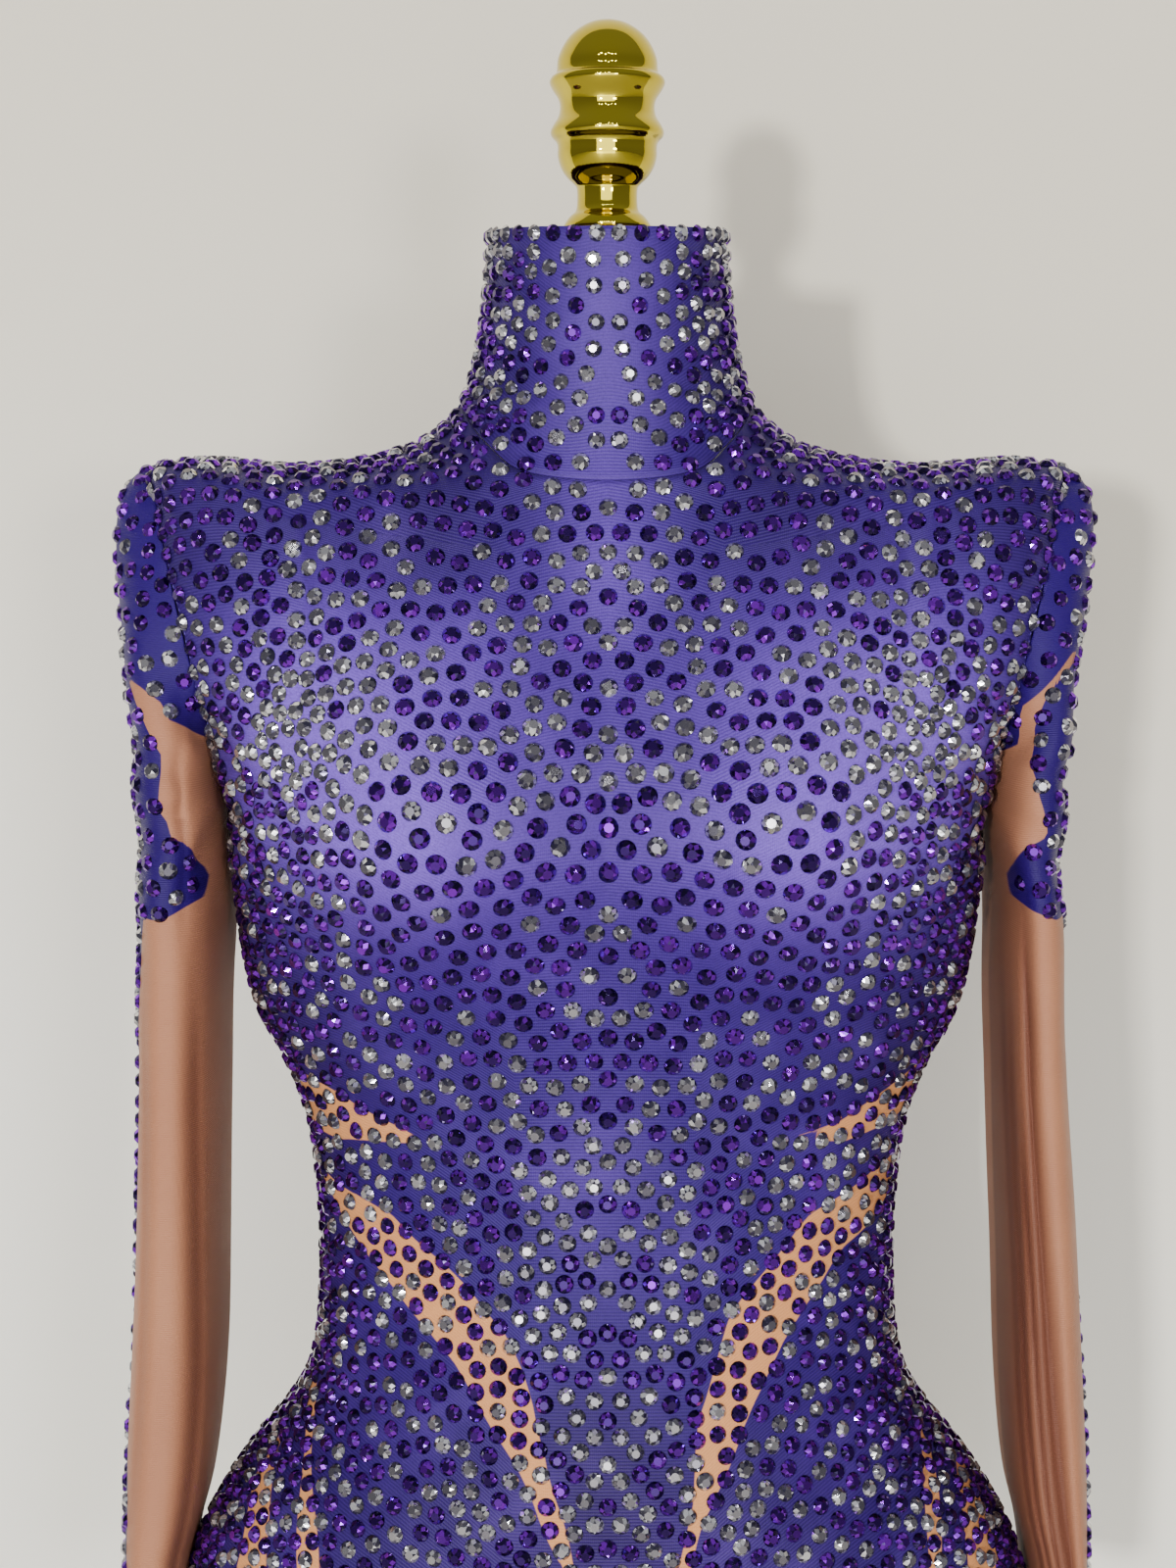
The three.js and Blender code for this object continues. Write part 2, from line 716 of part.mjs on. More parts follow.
function poleSocket() {
  const high = FORM_BOTTOM - SEAM_GAP;
  const low = high - SOCKET.height;
  const { radius } = SOCKET;
  return turned(
    [
      [0, low],
      [radius - 1.5, low],
      [radius, low + 1.5],
      [radius, high],
      [0, high],
    ],
    24,
  );
}

// Zip: a concealed slider at the top of the back seam, with a pull that hangs from its pin
const ZIP = { z: 966, wide: 5.2, tall: 9, thick: 2.2, pin: 0.8, pinOut: 4.3, post: 1.1 };
const PULL = { long: 21, wide: 5, thick: 1, eye: 1.3, ring: 2.4 };

function zipBack() {
  return skin(1, 1, 1, ZIP.z).y + 0.5;
}

const wasm = await Module();
wasm.setup();

function solid(geometry) {
  const bare = geometry.index ? geometry.toNonIndexed() : geometry;
  const plain = new THREE.BufferGeometry();
  plain.setAttribute("position", bare.getAttribute("position"));
  const merged = mergeVertices(plain, 1e-4);
  return new wasm.Manifold(
    new wasm.Mesh({
      numProp: 3,
      vertProperties: merged.getAttribute("position").array,
      triVerts: new Uint32Array(merged.index.array),
    }),
  );
}

function geometryOf(manifold) {
  const mesh = manifold.getMesh();
  const geometry = new THREE.BufferGeometry();
  const points = new THREE.BufferAttribute(new Float32Array(mesh.vertProperties), 3);
  geometry.setAttribute("position", points);
  geometry.setIndex(new THREE.BufferAttribute(mesh.triVerts, 1));
  return geometry;
}

function zipSlider() {
  const back = zipBack();
  const body = new THREE.BoxGeometry(ZIP.wide, ZIP.thick, ZIP.tall);
  body.translate(0, back + ZIP.thick / 2, ZIP.z);
  let whole = solid(body);
  const pinY = back + ZIP.thick + ZIP.pinOut - 1.4;
  for (const side of [-1, 1]) {
    const post = new THREE.BoxGeometry(ZIP.post, ZIP.pinOut, 2.2);
    post.translate(side * (ZIP.wide / 2 - ZIP.post / 2), back + ZIP.thick + ZIP.pinOut / 2 - 0.4, ZIP.z);
    whole = whole.add(solid(post));
  }
  const pin = new THREE.CylinderGeometry(ZIP.pin, ZIP.pin, ZIP.wide - ZIP.post, 12);
  pin.rotateZ(Math.PI / 2).translate(0, pinY, ZIP.z);
  return geometryOf(whole.add(solid(pin)));
}

function zipPull() {
  const back = zipBack();
  const pinY = back + ZIP.thick + ZIP.pinOut - 1.4;
  const eyeWide = ZIP.wide - 2 * ZIP.post - 0.8;
  const ring = new THREE.CylinderGeometry(PULL.ring, PULL.ring, eyeWide, 16);
  ring.rotateZ(Math.PI / 2);
  const neck = new THREE.BoxGeometry(eyeWide, PULL.thick, 5);
  neck.translate(0, 0, -PULL.ring - 1.6);
  const shape = new THREE.Shape();
  shape.moveTo(-eyeWide / 2, -PULL.ring - 2);
  shape.lineTo(-PULL.wide / 2, -PULL.long + PULL.wide / 2);
  shape.absarc(0, -PULL.long + PULL.wide / 2, PULL.wide / 2, Math.PI, 2 * Math.PI, false);
  shape.lineTo(eyeWide / 2, -PULL.ring - 2);
  const leaf = new THREE.ExtrudeGeometry(shape, {
    depth: PULL.thick,
    bevelEnabled: false,
    curveSegments: 8,
  });
  leaf.rotateX(Math.PI / 2).translate(0, PULL.thick / 2, 0);
  const eye = new THREE.CylinderGeometry(PULL.eye, PULL.eye, eyeWide + 2, 16);
  eye.rotateZ(Math.PI / 2);
  const whole = solid(ring).add(solid(neck)).add(solid(leaf)).subtract(solid(eye));
  return geometryOf(whole).translate(0, pinY, ZIP.z);
}

const finish = (color, roughness, metalness) =>
  new THREE.MeshStandardMaterial({ color, roughness, metalness });
const violetCloth = finish(0x4a3fae, 0.55, 0);
const sleeveCloth = finish(0xb98a72, 0.5, 0);
const formCover = finish(0xe6e0d4, 0.85, 0);
const gold = finish(0xc9a93a, 0.15, 1);
const zipMetal = finish(0x55508c, 0.35, 0.8);

const part = new THREE.Group();
function add(name, geometry, material) {
  const mesh = new THREE.Mesh(geometry, material);
  mesh.name = name;
  part.add(mesh);
}

add("bodice_front", frontPanel(), violetCloth);
add("bodice_back_left", backPanel(1), violetCloth);
add("bodice_back_right", backPanel(-1), violetCloth);
add("stand_collar", standCollar(), violetCloth);
add("gusset_front", gusset(-1), violetCloth);
add("gusset_back", gusset(1), violetCloth);
add("sleeve_left", sleeve(1, LEFT_FOLDS), sleeveCloth);
add("sleeve_right", sleeve(-1, RIGHT_FOLDS), sleeveCloth);
add("zip_slider", zipSlider(), zipMetal);
add("zip_pull", zipPull(), zipMetal);
add("form_torso", dressForm(), formCover);
add("neck_cap", neckCap(), gold);
add("finial", finial(), gold);
add("pole_socket", poleSocket(), gold);
add("stand_pole", standPole(), gold);
add("stand_base", standBase(), gold);

export default part;
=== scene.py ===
# %% [markdown]
# # A stage bodysuit on its dress form
# The solids of the CAD model are the frame of this lesson: they say where every panel lies, and
# Blender adds what a plain solid can't show. That is the thin stretch cloth with its printed
# colours and creases, the thousands of glued rhinestones, the satin sleeves and the polished finial.
# Everything is in metres, with +Z up and -Y towards the front.

import math
import time

import bpy
import numpy as np
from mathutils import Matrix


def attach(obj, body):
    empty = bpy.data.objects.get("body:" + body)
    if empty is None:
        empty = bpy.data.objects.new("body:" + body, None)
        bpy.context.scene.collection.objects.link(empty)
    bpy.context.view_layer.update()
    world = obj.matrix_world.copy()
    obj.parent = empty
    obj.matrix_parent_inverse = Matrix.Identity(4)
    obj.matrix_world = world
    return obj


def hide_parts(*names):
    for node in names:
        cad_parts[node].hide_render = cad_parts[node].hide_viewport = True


START = time.time()
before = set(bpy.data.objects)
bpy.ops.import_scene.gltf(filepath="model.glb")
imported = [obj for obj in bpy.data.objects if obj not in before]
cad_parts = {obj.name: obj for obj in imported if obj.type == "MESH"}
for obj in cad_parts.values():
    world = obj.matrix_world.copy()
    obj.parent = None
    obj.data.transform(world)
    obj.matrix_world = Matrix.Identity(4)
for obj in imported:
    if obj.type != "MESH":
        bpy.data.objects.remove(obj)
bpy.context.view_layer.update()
print("nodes:", sorted(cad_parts))

# %% [markdown]
# ## The camera
# The photograph was taken from about a metre away, a little below the collar's rim, looking down
# by seven degrees. A camera that close makes the bust look larger than the hips, so the distance
# matters as much as the angle. With the 36 mm sensor along the tall side, a lens of 56 mm gives
# the same field of view.

# %% Camera
SENSOR = 36.0
PHOTO_HEIGHT, FOCAL_LENGTH = 1600, 2500  # both in the photograph's own pixels
TILT = 6.84  # degrees below the level
lens = bpy.data.cameras.new("camera")
lens.sensor_width = SENSOR
lens.lens = FOCAL_LENGTH * SENSOR / PHOTO_HEIGHT
camera = bpy.data.objects.new("camera", lens)
camera.location = (-0.008, -1.050, 0.867)
camera.rotation_euler = (math.radians(90 - TILT), 0, 0)
bpy.context.collection.objects.link(camera)
bpy.context.scene.camera = camera
print("lens", round(lens.lens, 2), "mm")

# %% [markdown]
# ## The shape of the body
# A body is easiest to describe as a stack of rings. Each row of the table gives a level, the half
# width, how far the ring reaches to the front and to the back, and how boxy it is. Between two
# rows the numbers follow a smooth curve. This is the same table as in the solids, so the cloth
# lands exactly where they are. Sizes in these tables are in millimetres.

# %% Body table
# level, half width, front reach, back reach, power
BODY = np.array(
    [
        (296, 160, 62, 92, 2.3),
        (335, 177, 82, 111, 2.3),
        (362, 185.5, 90, 118, 2.25),
        (387, 185.5, 95, 121, 2.2),
        (405, 180, 97, 121, 2.15),
        (424, 170, 98.5, 119, 2.15),
        (442, 158, 99, 115.5, 2.1),
        (460, 143.5, 98.5, 110.5, 2.05),
        (478, 132, 97, 104, 2.05),
        (500, 126, 94, 95, 2.1),
        (525, 124, 90, 85, 2.15),
        (555, 124, 86.5, 77, 2.2),
        (585, 126.5, 85.5, 74, 2.2),
        (607, 131, 86, 75, 2.25),
        (627, 139.5, 88, 77.5, 2.3),
        (646, 149, 90.5, 80.5, 2.35),
        (668, 154.5, 93, 84, 2.4),
        (700, 158, 95.5, 88, 2.5),
        (735, 161, 97, 92, 2.6),
        (760, 166, 94, 94, 3.0),
        (790, 174.5, 86, 93, 3.8),
        (825, 183, 75.5, 88, 4.6),
        (850, 187.5, 67.5, 81, 4.4),
        (864, 188.5, 62.5, 74.5, 3.5),
        (870, 166, 60.5, 70, 2.6),
        (874, 140, 59, 66, 2.2),
        (877.5, 115, 58, 62, 1.95),
        (880.5, 98, 57.3, 59, 1.9),
        (885, 83, 56.5, 56, 1.9),
        (894, 68.5, 55.6, 51.5, 1.95),
        (904, 61, 54.8, 48.5, 2),
        (914, 57, 54.2, 46.5, 2),
        (930, 53.3, 53.8, 44.5, 2),
        (947, 51, 54, 43, 2),
        (965, 49.6, 55, 42, 2),
        (990, 48, 56.5, 41, 2),
    ]
)
SIDE, FRONT, BACK, POWER = 1, 2, 3, 4


def smooth(low, high, value):
    """0 below low, 1 above high, and an S curve between: 3t^2 - 2t^3."""
    t = np.clip((value - low) / (high - low), 0, 1)
    return t * t * (3 - 2 * t)


def column(table, name, z):
    """One column of a table at the levels z, on the cubic curve whose slope at each row is the
    slope between its two neighbours."""
    rows, last = table[:, 0], len(table) - 1
    z = np.clip(z, rows[0], rows[-1])
    i = np.clip(np.searchsorted(rows, z, side="right") - 1, 0, last - 1)
    low = np.maximum(np.arange(last + 1) - 1, 0)
    high = np.minimum(np.arange(last + 1) + 1, last)
    slope = (table[high, name] - table[low, name]) / (rows[high] - rows[low])
    span = rows[i + 1] - rows[i]
    t = (z - rows[i]) / span
    t2, t3 = t * t, t * t * t
    return (
        (2 * t3 - 3 * t2 + 1) * table[i, name]
        + (t3 - 2 * t2 + t) * span * slope[i]
        + (3 * t2 - 2 * t3) * table[i + 1, name]
        + (t3 - t2) * span * slope[i + 1]
    )


print("waist", round(2 * column(BODY, SIDE, np.array([540.0]))[0]), "mm wide")

# %% [markdown]
# ## A point on the body
# A place on the body is a level and a share: 0 at the side, 1 at the middle, measured along the
# ring so that equal steps are equal lengths of cloth. The ring's own formula doesn't give equal
# steps, so its length is added up once for many levels, and read back by interpolation.

# %% Ring tables
LEVEL_STEP = 2.0
LEVELS = np.arange(296.0, 991.0, LEVEL_STEP)
SHARES = np.linspace(0, 1, 193)


def unit_rings(facing):
    """For each level and share, x over the half width and y over the reach. The ring is
    x = side cos(t)^(2/power), y = reach sin(t)^(2/power), re-read at equal lengths."""
    turn = np.linspace(0, np.pi / 2, 241)
    power = 2 / column(BODY, POWER, LEVELS)[:, None]
    x = np.maximum(np.cos(turn), 0)[None] ** power
    y = np.sin(turn)[None] ** power
    side = column(BODY, SIDE, LEVELS)[:, None]
    reach = column(BODY, facing, LEVELS)[:, None]
    steps = np.hypot(np.diff(x * side, axis=1), np.diff(y * reach, axis=1))
    length = np.concatenate([np.zeros((len(LEVELS), 1)), np.cumsum(steps, axis=1)], axis=1)
    share = length / length[:, -1:]
    along = [np.interp(SHARES, s, a) for s, a in zip(share, x)]
    across = [np.interp(SHARES, s, a) for s, a in zip(share, y)]
    return np.array(along), np.array(across), length[:, -1]


RINGS = {FRONT: unit_rings(FRONT), BACK: unit_rings(BACK)}


def between(grid, z, share):
    """A table of levels by shares, read between its entries in both directions."""
    r = np.clip((z - LEVELS[0]) / LEVEL_STEP, 0, len(LEVELS) - 1.001)
    c = np.clip(share, 0, 1) * (len(SHARES) - 1.001)
    i, j = r.astype(int), c.astype(int)
    a, b = r - i, c - j
    top = grid[i, j] * (1 - b) + grid[i, j + 1] * b
    low = grid[i + 1, j] * (1 - b) + grid[i + 1, j + 1] * b
    return top * (1 - a) + low * a


BUST = dict(x=76, z=733, rise=33, across=54, up=74, down=54)
BRIDGE = dict(x=0, z=733, rise=11, across=42, up=62, down=48)
PAD = dict(lift=12, inner=120, outer=188, low=800, high=862)


def mound(shape, x, z):
    """A soft bump: rise times a bell curve across, times one that differs up and down."""
    dz = z - shape["z"]
    tall = np.where(dz > 0, shape["up"], shape["down"])
    bell = ((np.abs(x) - shape["x"]) / shape["across"]) ** 2 + (dz / tall) ** 2
    return shape["rise"] * np.exp(-bell)


def skin(side, facing, share, z, padded=True):
    """Points of the bodysuit's outer face: the ring, the bust in front, and the lift of the
    shoulder pads. side is 1 on the wearer's left, and facing is FRONT or BACK."""
    z = np.asarray(z, float) + 0 * np.asarray(share, float)
    along, across, _ = RINGS[facing]
    x = between(along, z, share) * column(BODY, SIDE, z)
    y = between(across, z, share) * column(BODY, facing, z)
    if facing == FRONT:
        y = y + (mound(BUST, x, z) + mound(BRIDGE, x, z)) * smooth(0, 60, y)
    lift = PAD["lift"] * smooth(PAD["inner"], PAD["outer"], x) * smooth(PAD["low"], PAD["high"], z)
    towards = -1 if facing == FRONT else 1
    return np.stack([side * x, towards * y, z + (lift if padded else 0)], axis=-1)


print("bust at", np.round(skin(1, FRONT, np.array([0.62]), np.array([733.0]))[0]))

# %% [markdown]
# ## Cutting lines
# The panels end at lines: the U of the neck seam, the armhole, the leg opening and the hem of the
# collar. A panel is a grid whose rows run between two of these lines, so that its edge is a clean
# curve and its neighbour can start from the same points.

# %% Cutting lines
UNDERARM, SHOULDER_TIP = 752.0, 866.0
NECK = {FRONT: 871.0, BACK: 907.0, "side": 903.0}
COLLAR = {FRONT: 971.5, BACK: 977.0, "side": 974.0}
HIP_HEM, TAB_BOTTOM = 374.0, 314.0
TAB = {FRONT: (0.8, 1.8), BACK: (0.74, 2.2)}
TIP_LEVEL = (SHOULDER_TIP - UNDERARM) / (NECK["side"] - UNDERARM)
SEAM = 0.12
ARMHOLE_REACH = 0.22
# shares where a grid stops short of the side edge, and of the slit at the centre back
EDGE_GAP, SLIT_GAP = 0.0006, 0.0008


def neck_seam(share, facing):
    """Level of the U-shaped seam: an S curve from the side to the middle."""
    return NECK["side"] + (NECK[facing] - NECK["side"]) * smooth(0, 1, share)


def collar_top(share, facing):
    """Level of the collar's rim, with the same S curve."""
    return COLLAR["side"] + (COLLAR[facing] - COLLAR["side"]) * smooth(0, 1, share)


def hem(share, facing):
    """Level of the leg opening: a power curve from the hip down to the gusset tab."""
    tab, bend = TAB[facing]
    return TAB_BOTTOM + (HIP_HEM - TAB_BOTTOM) * (1 - np.minimum(share / tab, 1) ** bend)


def armhole_share(level):
    """How far round from the side the armhole's edge lies, zero under the arm and at the tip."""
    inside = np.clip(level / TIP_LEVEL, 0, 1)
    return ARMHOLE_REACH * np.sqrt(np.sin(np.pi * inside))


def panel(side, facing, rows, cols):
    """The outer face of half a front or back, as a grid of points: rows from the hem to the neck
    seam, crowded round the armhole, and columns from the side edge to the middle."""
    low, mid, top = rows
    below = (np.arange(low, 0, -1) / low) ** 1.2
    around = TIP_LEVEL * (1 + np.cos(np.pi * np.arange(mid, -1, -1) / mid)) / 2
    ridge = TIP_LEVEL + (1 - TIP_LEVEL) * np.arange(1, top + 1) / top
    above = np.concatenate([around, ridge])
    edge = np.concatenate([np.zeros(low), armhole_share(above)])
    edge = np.maximum(edge, EDGE_GAP)[:, None]
    middle = 1.0 if facing == FRONT else 1 - SLIT_GAP
    share = edge + (middle - edge) * np.linspace(0, 1, cols)[None]
    z = np.empty_like(share)
    z[:low] = UNDERARM - below[:, None] * (UNDERARM - hem(share[:low], facing))
    up = neck_seam(share[low:], facing) - SEAM - UNDERARM
    z[low:] = UNDERARM + above[:, None] * up
    return skin(side, facing, share, z)


print("armhole is", round(2 * ARMHOLE_REACH * RINGS[FRONT][2][270]), "mm deep")

# %% [markdown]
# ## From a grid to cloth
# Cloth has two faces and an edge. The outer face is the grid, the inner face is the same grid
# moved inwards by the cloth's thickness, and a strip joins them round the edge. The whole is one
# closed mesh, which is what a printer or a simulation needs. The UV map holds real lengths in
# metres, so a weave or a stitch drawn on it keeps its size everywhere.

# %% Mesh helpers
MADE = {}
BODY_NAME = "display"


def slopes(points, closed=False):
    """How a grid changes from row to row and from column to column, at each of its points."""
    along = np.gradient(points, axis=0)
    if not closed:
        return along, np.gradient(points, axis=1)
    wide = np.concatenate([points[:, -1:], points, points[:, :1]], axis=1)
    return along, (wide[:, 2:] - wide[:, :-2]) / 2


def grid_normals(points, closed=False):
    """The normal at each point of a grid: the cross product of its two slopes."""
    along, across = slopes(points, closed)
    out = np.cross(across, along)
    return out / np.maximum(np.linalg.norm(out, axis=-1, keepdims=True), 1e-9)


def outwards(face, closed=False):
    """The normals of a grid, turned so that they point away from the middle of its rows, or
    from the form's own axis if the rows are open."""
    out = grid_normals(face, closed)
    middle = face.mean(axis=1, keepdims=True) if closed else np.array([0, 0, 0])
    facing = np.sum((out * (face - middle))[..., :2])
    return out if facing > 0 else -out


def mesh_from(name, points, loops, sizes, flat=False):
    """Vertices, the corners of every face in one row, and how many corners each face has."""
    mesh = bpy.data.meshes.new(name)
    mesh.vertices.add(len(points))
    mesh.vertices.foreach_set("co", np.asarray(points, np.float32).ravel())
    mesh.loops.add(len(loops))
    mesh.loops.foreach_set("vertex_index", np.asarray(loops, np.int32))
    mesh.polygons.add(len(sizes))
    starts = np.concatenate([[0], np.cumsum(sizes)[:-1]])
    mesh.polygons.foreach_set("loop_start", starts.astype(np.int32))
    mesh.update(calc_edges=True)
    mesh.polygons.foreach_set("use_smooth", np.full(len(sizes), not flat))
    mesh.validate()
    thing = bpy.data.objects.new(name, mesh)
    bpy.context.collection.objects.link(thing)
    MADE[name] = thing
    return thing


def quads(rows, cols, closed=False):
    """Corners of the faces of a grid, one row of four numbers a face."""
    spans = cols if closed else cols - 1
    r, c = np.meshgrid(np.arange(rows - 1), np.arange(spans), indexing="ij")
    n = (c + 1) % cols
    return np.stack([r * cols + c, r * cols + n, (r + 1) * cols + n, (r + 1) * cols + c], -1)


def cloth(name, outer, thickness=0.8, closed=False, facts=None):
    """A closed sheet from its outer face in mm. facts are numbers for each point, such as how
    far it is from a printed edge."""
    rows, cols, _ = outer.shape
    out = grid_normals(outer, closed)
    inner = outer - out * thickness
    count = rows * cols
    face = quads(rows, cols, closed).reshape(-1, 4)
    bands = [face, face[:, ::-1] + count]
    spans = np.arange(cols if closed else cols - 1)
    n = (spans + 1) % cols
    for row, turn in ((0, 1), (rows - 1, -1)):
        a, b = row * cols + spans, row * cols + n
        strip = np.stack([b, a, a + count, b + count], -1)
        bands.append(strip[:, ::turn])
    if not closed:
        r = np.arange(rows - 1)
        for col, turn in ((0, 1), (cols - 1, -1)):
            a, b = r * cols + col, (r + 1) * cols + col
            strip = np.stack([a, b, b + count, a + count], -1)
            bands.append(strip[:, ::turn])
    faces = np.concatenate(bands)
    if signed_volume(np.concatenate([outer, inner]).reshape(-1, 3), faces) < 0:
        faces = faces[:, ::-1]
    points = np.concatenate([outer.reshape(-1, 3), inner.reshape(-1, 3)]) / 1000
    thing = mesh_from(name, points, faces.ravel(), np.full(len(faces), 4))
    for fact, values in (facts or {}).items():
        layer = thing.data.attributes.new(fact, "FLOAT", "POINT")
        both = np.concatenate([values.ravel(), values.ravel()])
        layer.data.foreach_set("value", both.astype(np.float32))
    add_lengths(thing, outer, faces, count)
    return thing


def signed_volume(points, faces):
    """Six times the volume of a closed mesh of quads, negative if its faces point inwards."""
    a, b, c, d = (points[faces[:, k]] for k in range(4))
    return np.sum(np.cross(a, b) * c) + np.sum(np.cross(a, c) * d)


def capped_tube(name, rings, low_middle, high_middle):
    """Closed rings of points in mm, stacked upwards, with a fan of triangles at each end."""
    rows, around, _ = rings.shape
    points = np.concatenate([rings.reshape(-1, 3), [low_middle, high_middle]])
    faces = quads(rows, around, closed=True).reshape(-1, 4)
    here = np.arange(around)
    there = (here + 1) % around
    last = (rows - 1) * around
    low = np.stack([there, here, np.full(around, len(points) - 2)], -1)
    high = np.stack([last + here, last + there, np.full(around, len(points) - 1)], -1)
    if signed_volume(points, faces) < 0:
        faces, low, high = faces[:, ::-1], low[:, ::-1], high[:, ::-1]
    loops = np.concatenate([faces.ravel(), low.ravel(), high.ravel()])
    sizes = np.concatenate([np.full(len(faces), 4), np.full(2 * around, 3)])
    return mesh_from(name, points / 1000, loops, sizes)


def add_lengths(thing, outer, faces, count):
    """UV map of real lengths: along each row from its middle, and up the middle column."""
    across = np.linalg.norm(np.diff(outer, axis=1), axis=-1)
    u = np.concatenate([np.zeros((len(outer), 1)), np.cumsum(across, axis=1)], axis=1)
    u = u - u[:, outer.shape[1] // 2][:, None]
    along = np.linalg.norm(np.diff(outer, axis=0), axis=-1)
    v = np.concatenate([np.zeros((1, outer.shape[1])), np.cumsum(along, axis=0)], axis=0)
    uv = np.stack([u.ravel(), v.ravel()], -1) / 1000
    layer = thing.data.uv_layers.new(name="cloth")
    layer.data.foreach_set("uv", uv[faces.ravel() % count].astype(np.float32).ravel())


def ride(thing, slot, *nodes):
    """Ties a piece to the display and hides the solids it stands for. slot, the name of its finish, is not
    used.
    """
    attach(thing, BODY_NAME)
    if nodes:
        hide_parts(*nodes)
    return thing


# %% [markdown]
# ## Creases
# Stretch cloth pulled over a firm form shows few folds, and each has a cause: the neck's turn
# pushes two short ones into the collar, the end of a shoulder pad shows as a soft dent, and loose
# cloth bunches under the arm. Each crease is a line with a depth and a width, and moves the cloth
# in or out as a bell curve of the distance from that line.

# %% Crease table
# x and z of both ends, depth (less than 0 is a dent), width: all seen from the front
CREASES = np.array(
    [
        (-127, 868, -119, 800, -2.8, 5),
        (-138, 866, -133, 826, -1.5, 4.5),
        (122, 870, 117, 802, -2.8, 5),
        (135, 866, 131, 830, -1.4, 4.5),
        (-166, 778, -146, 742, -2.4, 4),
        (-160, 758, -138, 722, 1.2, 5),
        (-163, 742, -140, 706, -2.1, 4),
        (-160, 724, -146, 694, 0.9, 4),
        (166, 776, 148, 738, -2.4, 4),
        (161, 756, 140, 718, 1.2, 5),
        (164, 738, 143, 702, -2.0, 4),
        (160, 716, 147, 690, 0.9, 4),
        (58, 884, 34, 880, -1.0, 3),
        (-150, 636, -118, 628, -0.8, 5),
        (150, 632, 120, 622, -0.8, 5),
        (-60, 655, -22, 640, -0.7, 8),
        (60, 655, 22, 638, -0.7, 8),
        (-56, 912, -24, 904, -2.2, 2.4),
        (54, 906, 24, 908, -2.2, 2.4),
        (-52, 911, -34, 908, 0.9, 2.5),
        (52, 910, 32, 913, 0.9, 2.5),
        (-46, 935, -30, 931, -0.6, 3),
        (47, 928, 33, 931, -0.6, 3),
    ]
)


def from_line(x, z, ends):
    """Distance from a line in the front view, and the share of the way along it."""
    ax, az, bx, bz = ends
    dx, dz = bx - ax, bz - az
    t = np.clip(((x - ax) * dx + (z - az) * dz) / (dx * dx + dz * dz), 0, 1)
    return np.hypot(x - ax - t * dx, z - az - t * dz), t


def pucker(along, away):
    """Small waves across a seam: a sine of the way along it that dies out some 10 mm away and
    leaves the seam's own edge where it is."""
    wave = np.sin(2 * np.pi * along / 9.0 + 1.3 * np.sin(along / 13.0))
    return 0.5 * wave * np.exp(-((away / 7) ** 2)) * (1 - np.exp(-((away / 1.8) ** 2)))


def seam_waves(outer, rows, shoulder=868):
    """pucker for the two side edges of a panel, on the rows that lie along the armhole."""
    move = np.zeros(outer.shape[:2])
    for edge in (outer[:, :1], outer[:, -1:]):
        step = np.linalg.norm(np.diff(edge[:, 0], axis=0), axis=-1)
        along = np.concatenate([[0], np.cumsum(step)])[:, None]
        move += pucker(along, np.linalg.norm(outer - edge, axis=-1))
    move[: rows[0] - 4] = 0
    return move * (outer[..., 2] < shoulder)


def creased(outer, closed=False):
    """A grid moved in and out along its own normals by the crease table, in front only."""
    x, y, z = outer[..., 0], outer[..., 1], outer[..., 2]
    move = np.zeros(x.shape)
    for *ends, depth, width in CREASES:
        away, t = from_line(x, z, ends)
        fade = 0.35 + 0.65 * np.sin(np.pi * t)
        move += depth * fade * np.exp(-((away / width) ** 2))
    move *= smooth(6, -14, y)
    return outer + grid_normals(outer, closed) * move[..., None]


print(len(CREASES), "creases")

# %% [markdown]
# ## The print
# The bodysuit is printed, so its colours are flat on the cloth: violet all over, a lilac glow on the outer
# bust, the neck and the belly, and nude bands that sweep from the waist to the middle. The lilac glow is
# partly the print and partly a painted highlight where the bust faces the light. A deep indigo on the
# sides, the shoulders, the neck's sides and low on the belly is partly the print and partly painted shade
# where the body turns away from the light.
# A band is drawn as a centre line with a half width at each row. For every point of the cloth the
# distance to the nearest band's edge is stored, less than 0 inside, and the material turns
# that number into a crisp edge.

# %% Bands of the print
# x, z, half width
BANDS = [
    [(-121, 576, 3), (-107, 567, 7.5), (-94, 559, 11), (-78, 545, 12.5), (-64, 533, 12.5)],
    [(-64, 533, 12.5), (-53, 520, 12.5), (-47, 508, 11.5), (-40, 494, 10), (-32, 477, 7.5)],
    [(-32, 477, 7.5), (-26, 460, 4.2), (-16, 432, 2.2), (-12, 415, 1)],
    [(126, 583, 3), (115, 575, 8.5), (103, 567, 10), (90, 560, 11), (81, 549, 12.5)],
    [(81, 549, 12.5), (70, 537, 12.5), (62, 527, 12.5), (53, 505, 11.5), (47, 490, 9.5)],
    [(47, 490, 9.5), (43, 473, 6.5), (39, 458, 4.5), (35, 446, 3.2), (31, 428, 2), (28, 412, 1)],
    [(-134, 612, 13), (-113, 608, 11), (-95, 606, 6), (-77, 603, 1)],
    [(134, 617, 10), (115, 609, 8), (98, 604, 5), (77, 605, 1)],
    [(-127, 486, 0.5), (-127.5, 474, 2.4), (-127.5, 459, 2.9), (-125.5, 420, 4.4), (-123, 378, 5)],
    [(-141, 460, 0.5), (-145, 450, 1.4), (-148, 440, 3.8), (-151, 409, 8), (-152, 378, 9)],
    [(138, 472, 0.5), (137.5, 464, 2.2), (138, 450, 3), (138.5, 417, 3), (138.5, 378, 3.4)],
    [(154, 445, 0.5), (157.5, 434, 3.6), (160, 420, 6.6), (162, 403, 9), (163, 378, 10)],
]


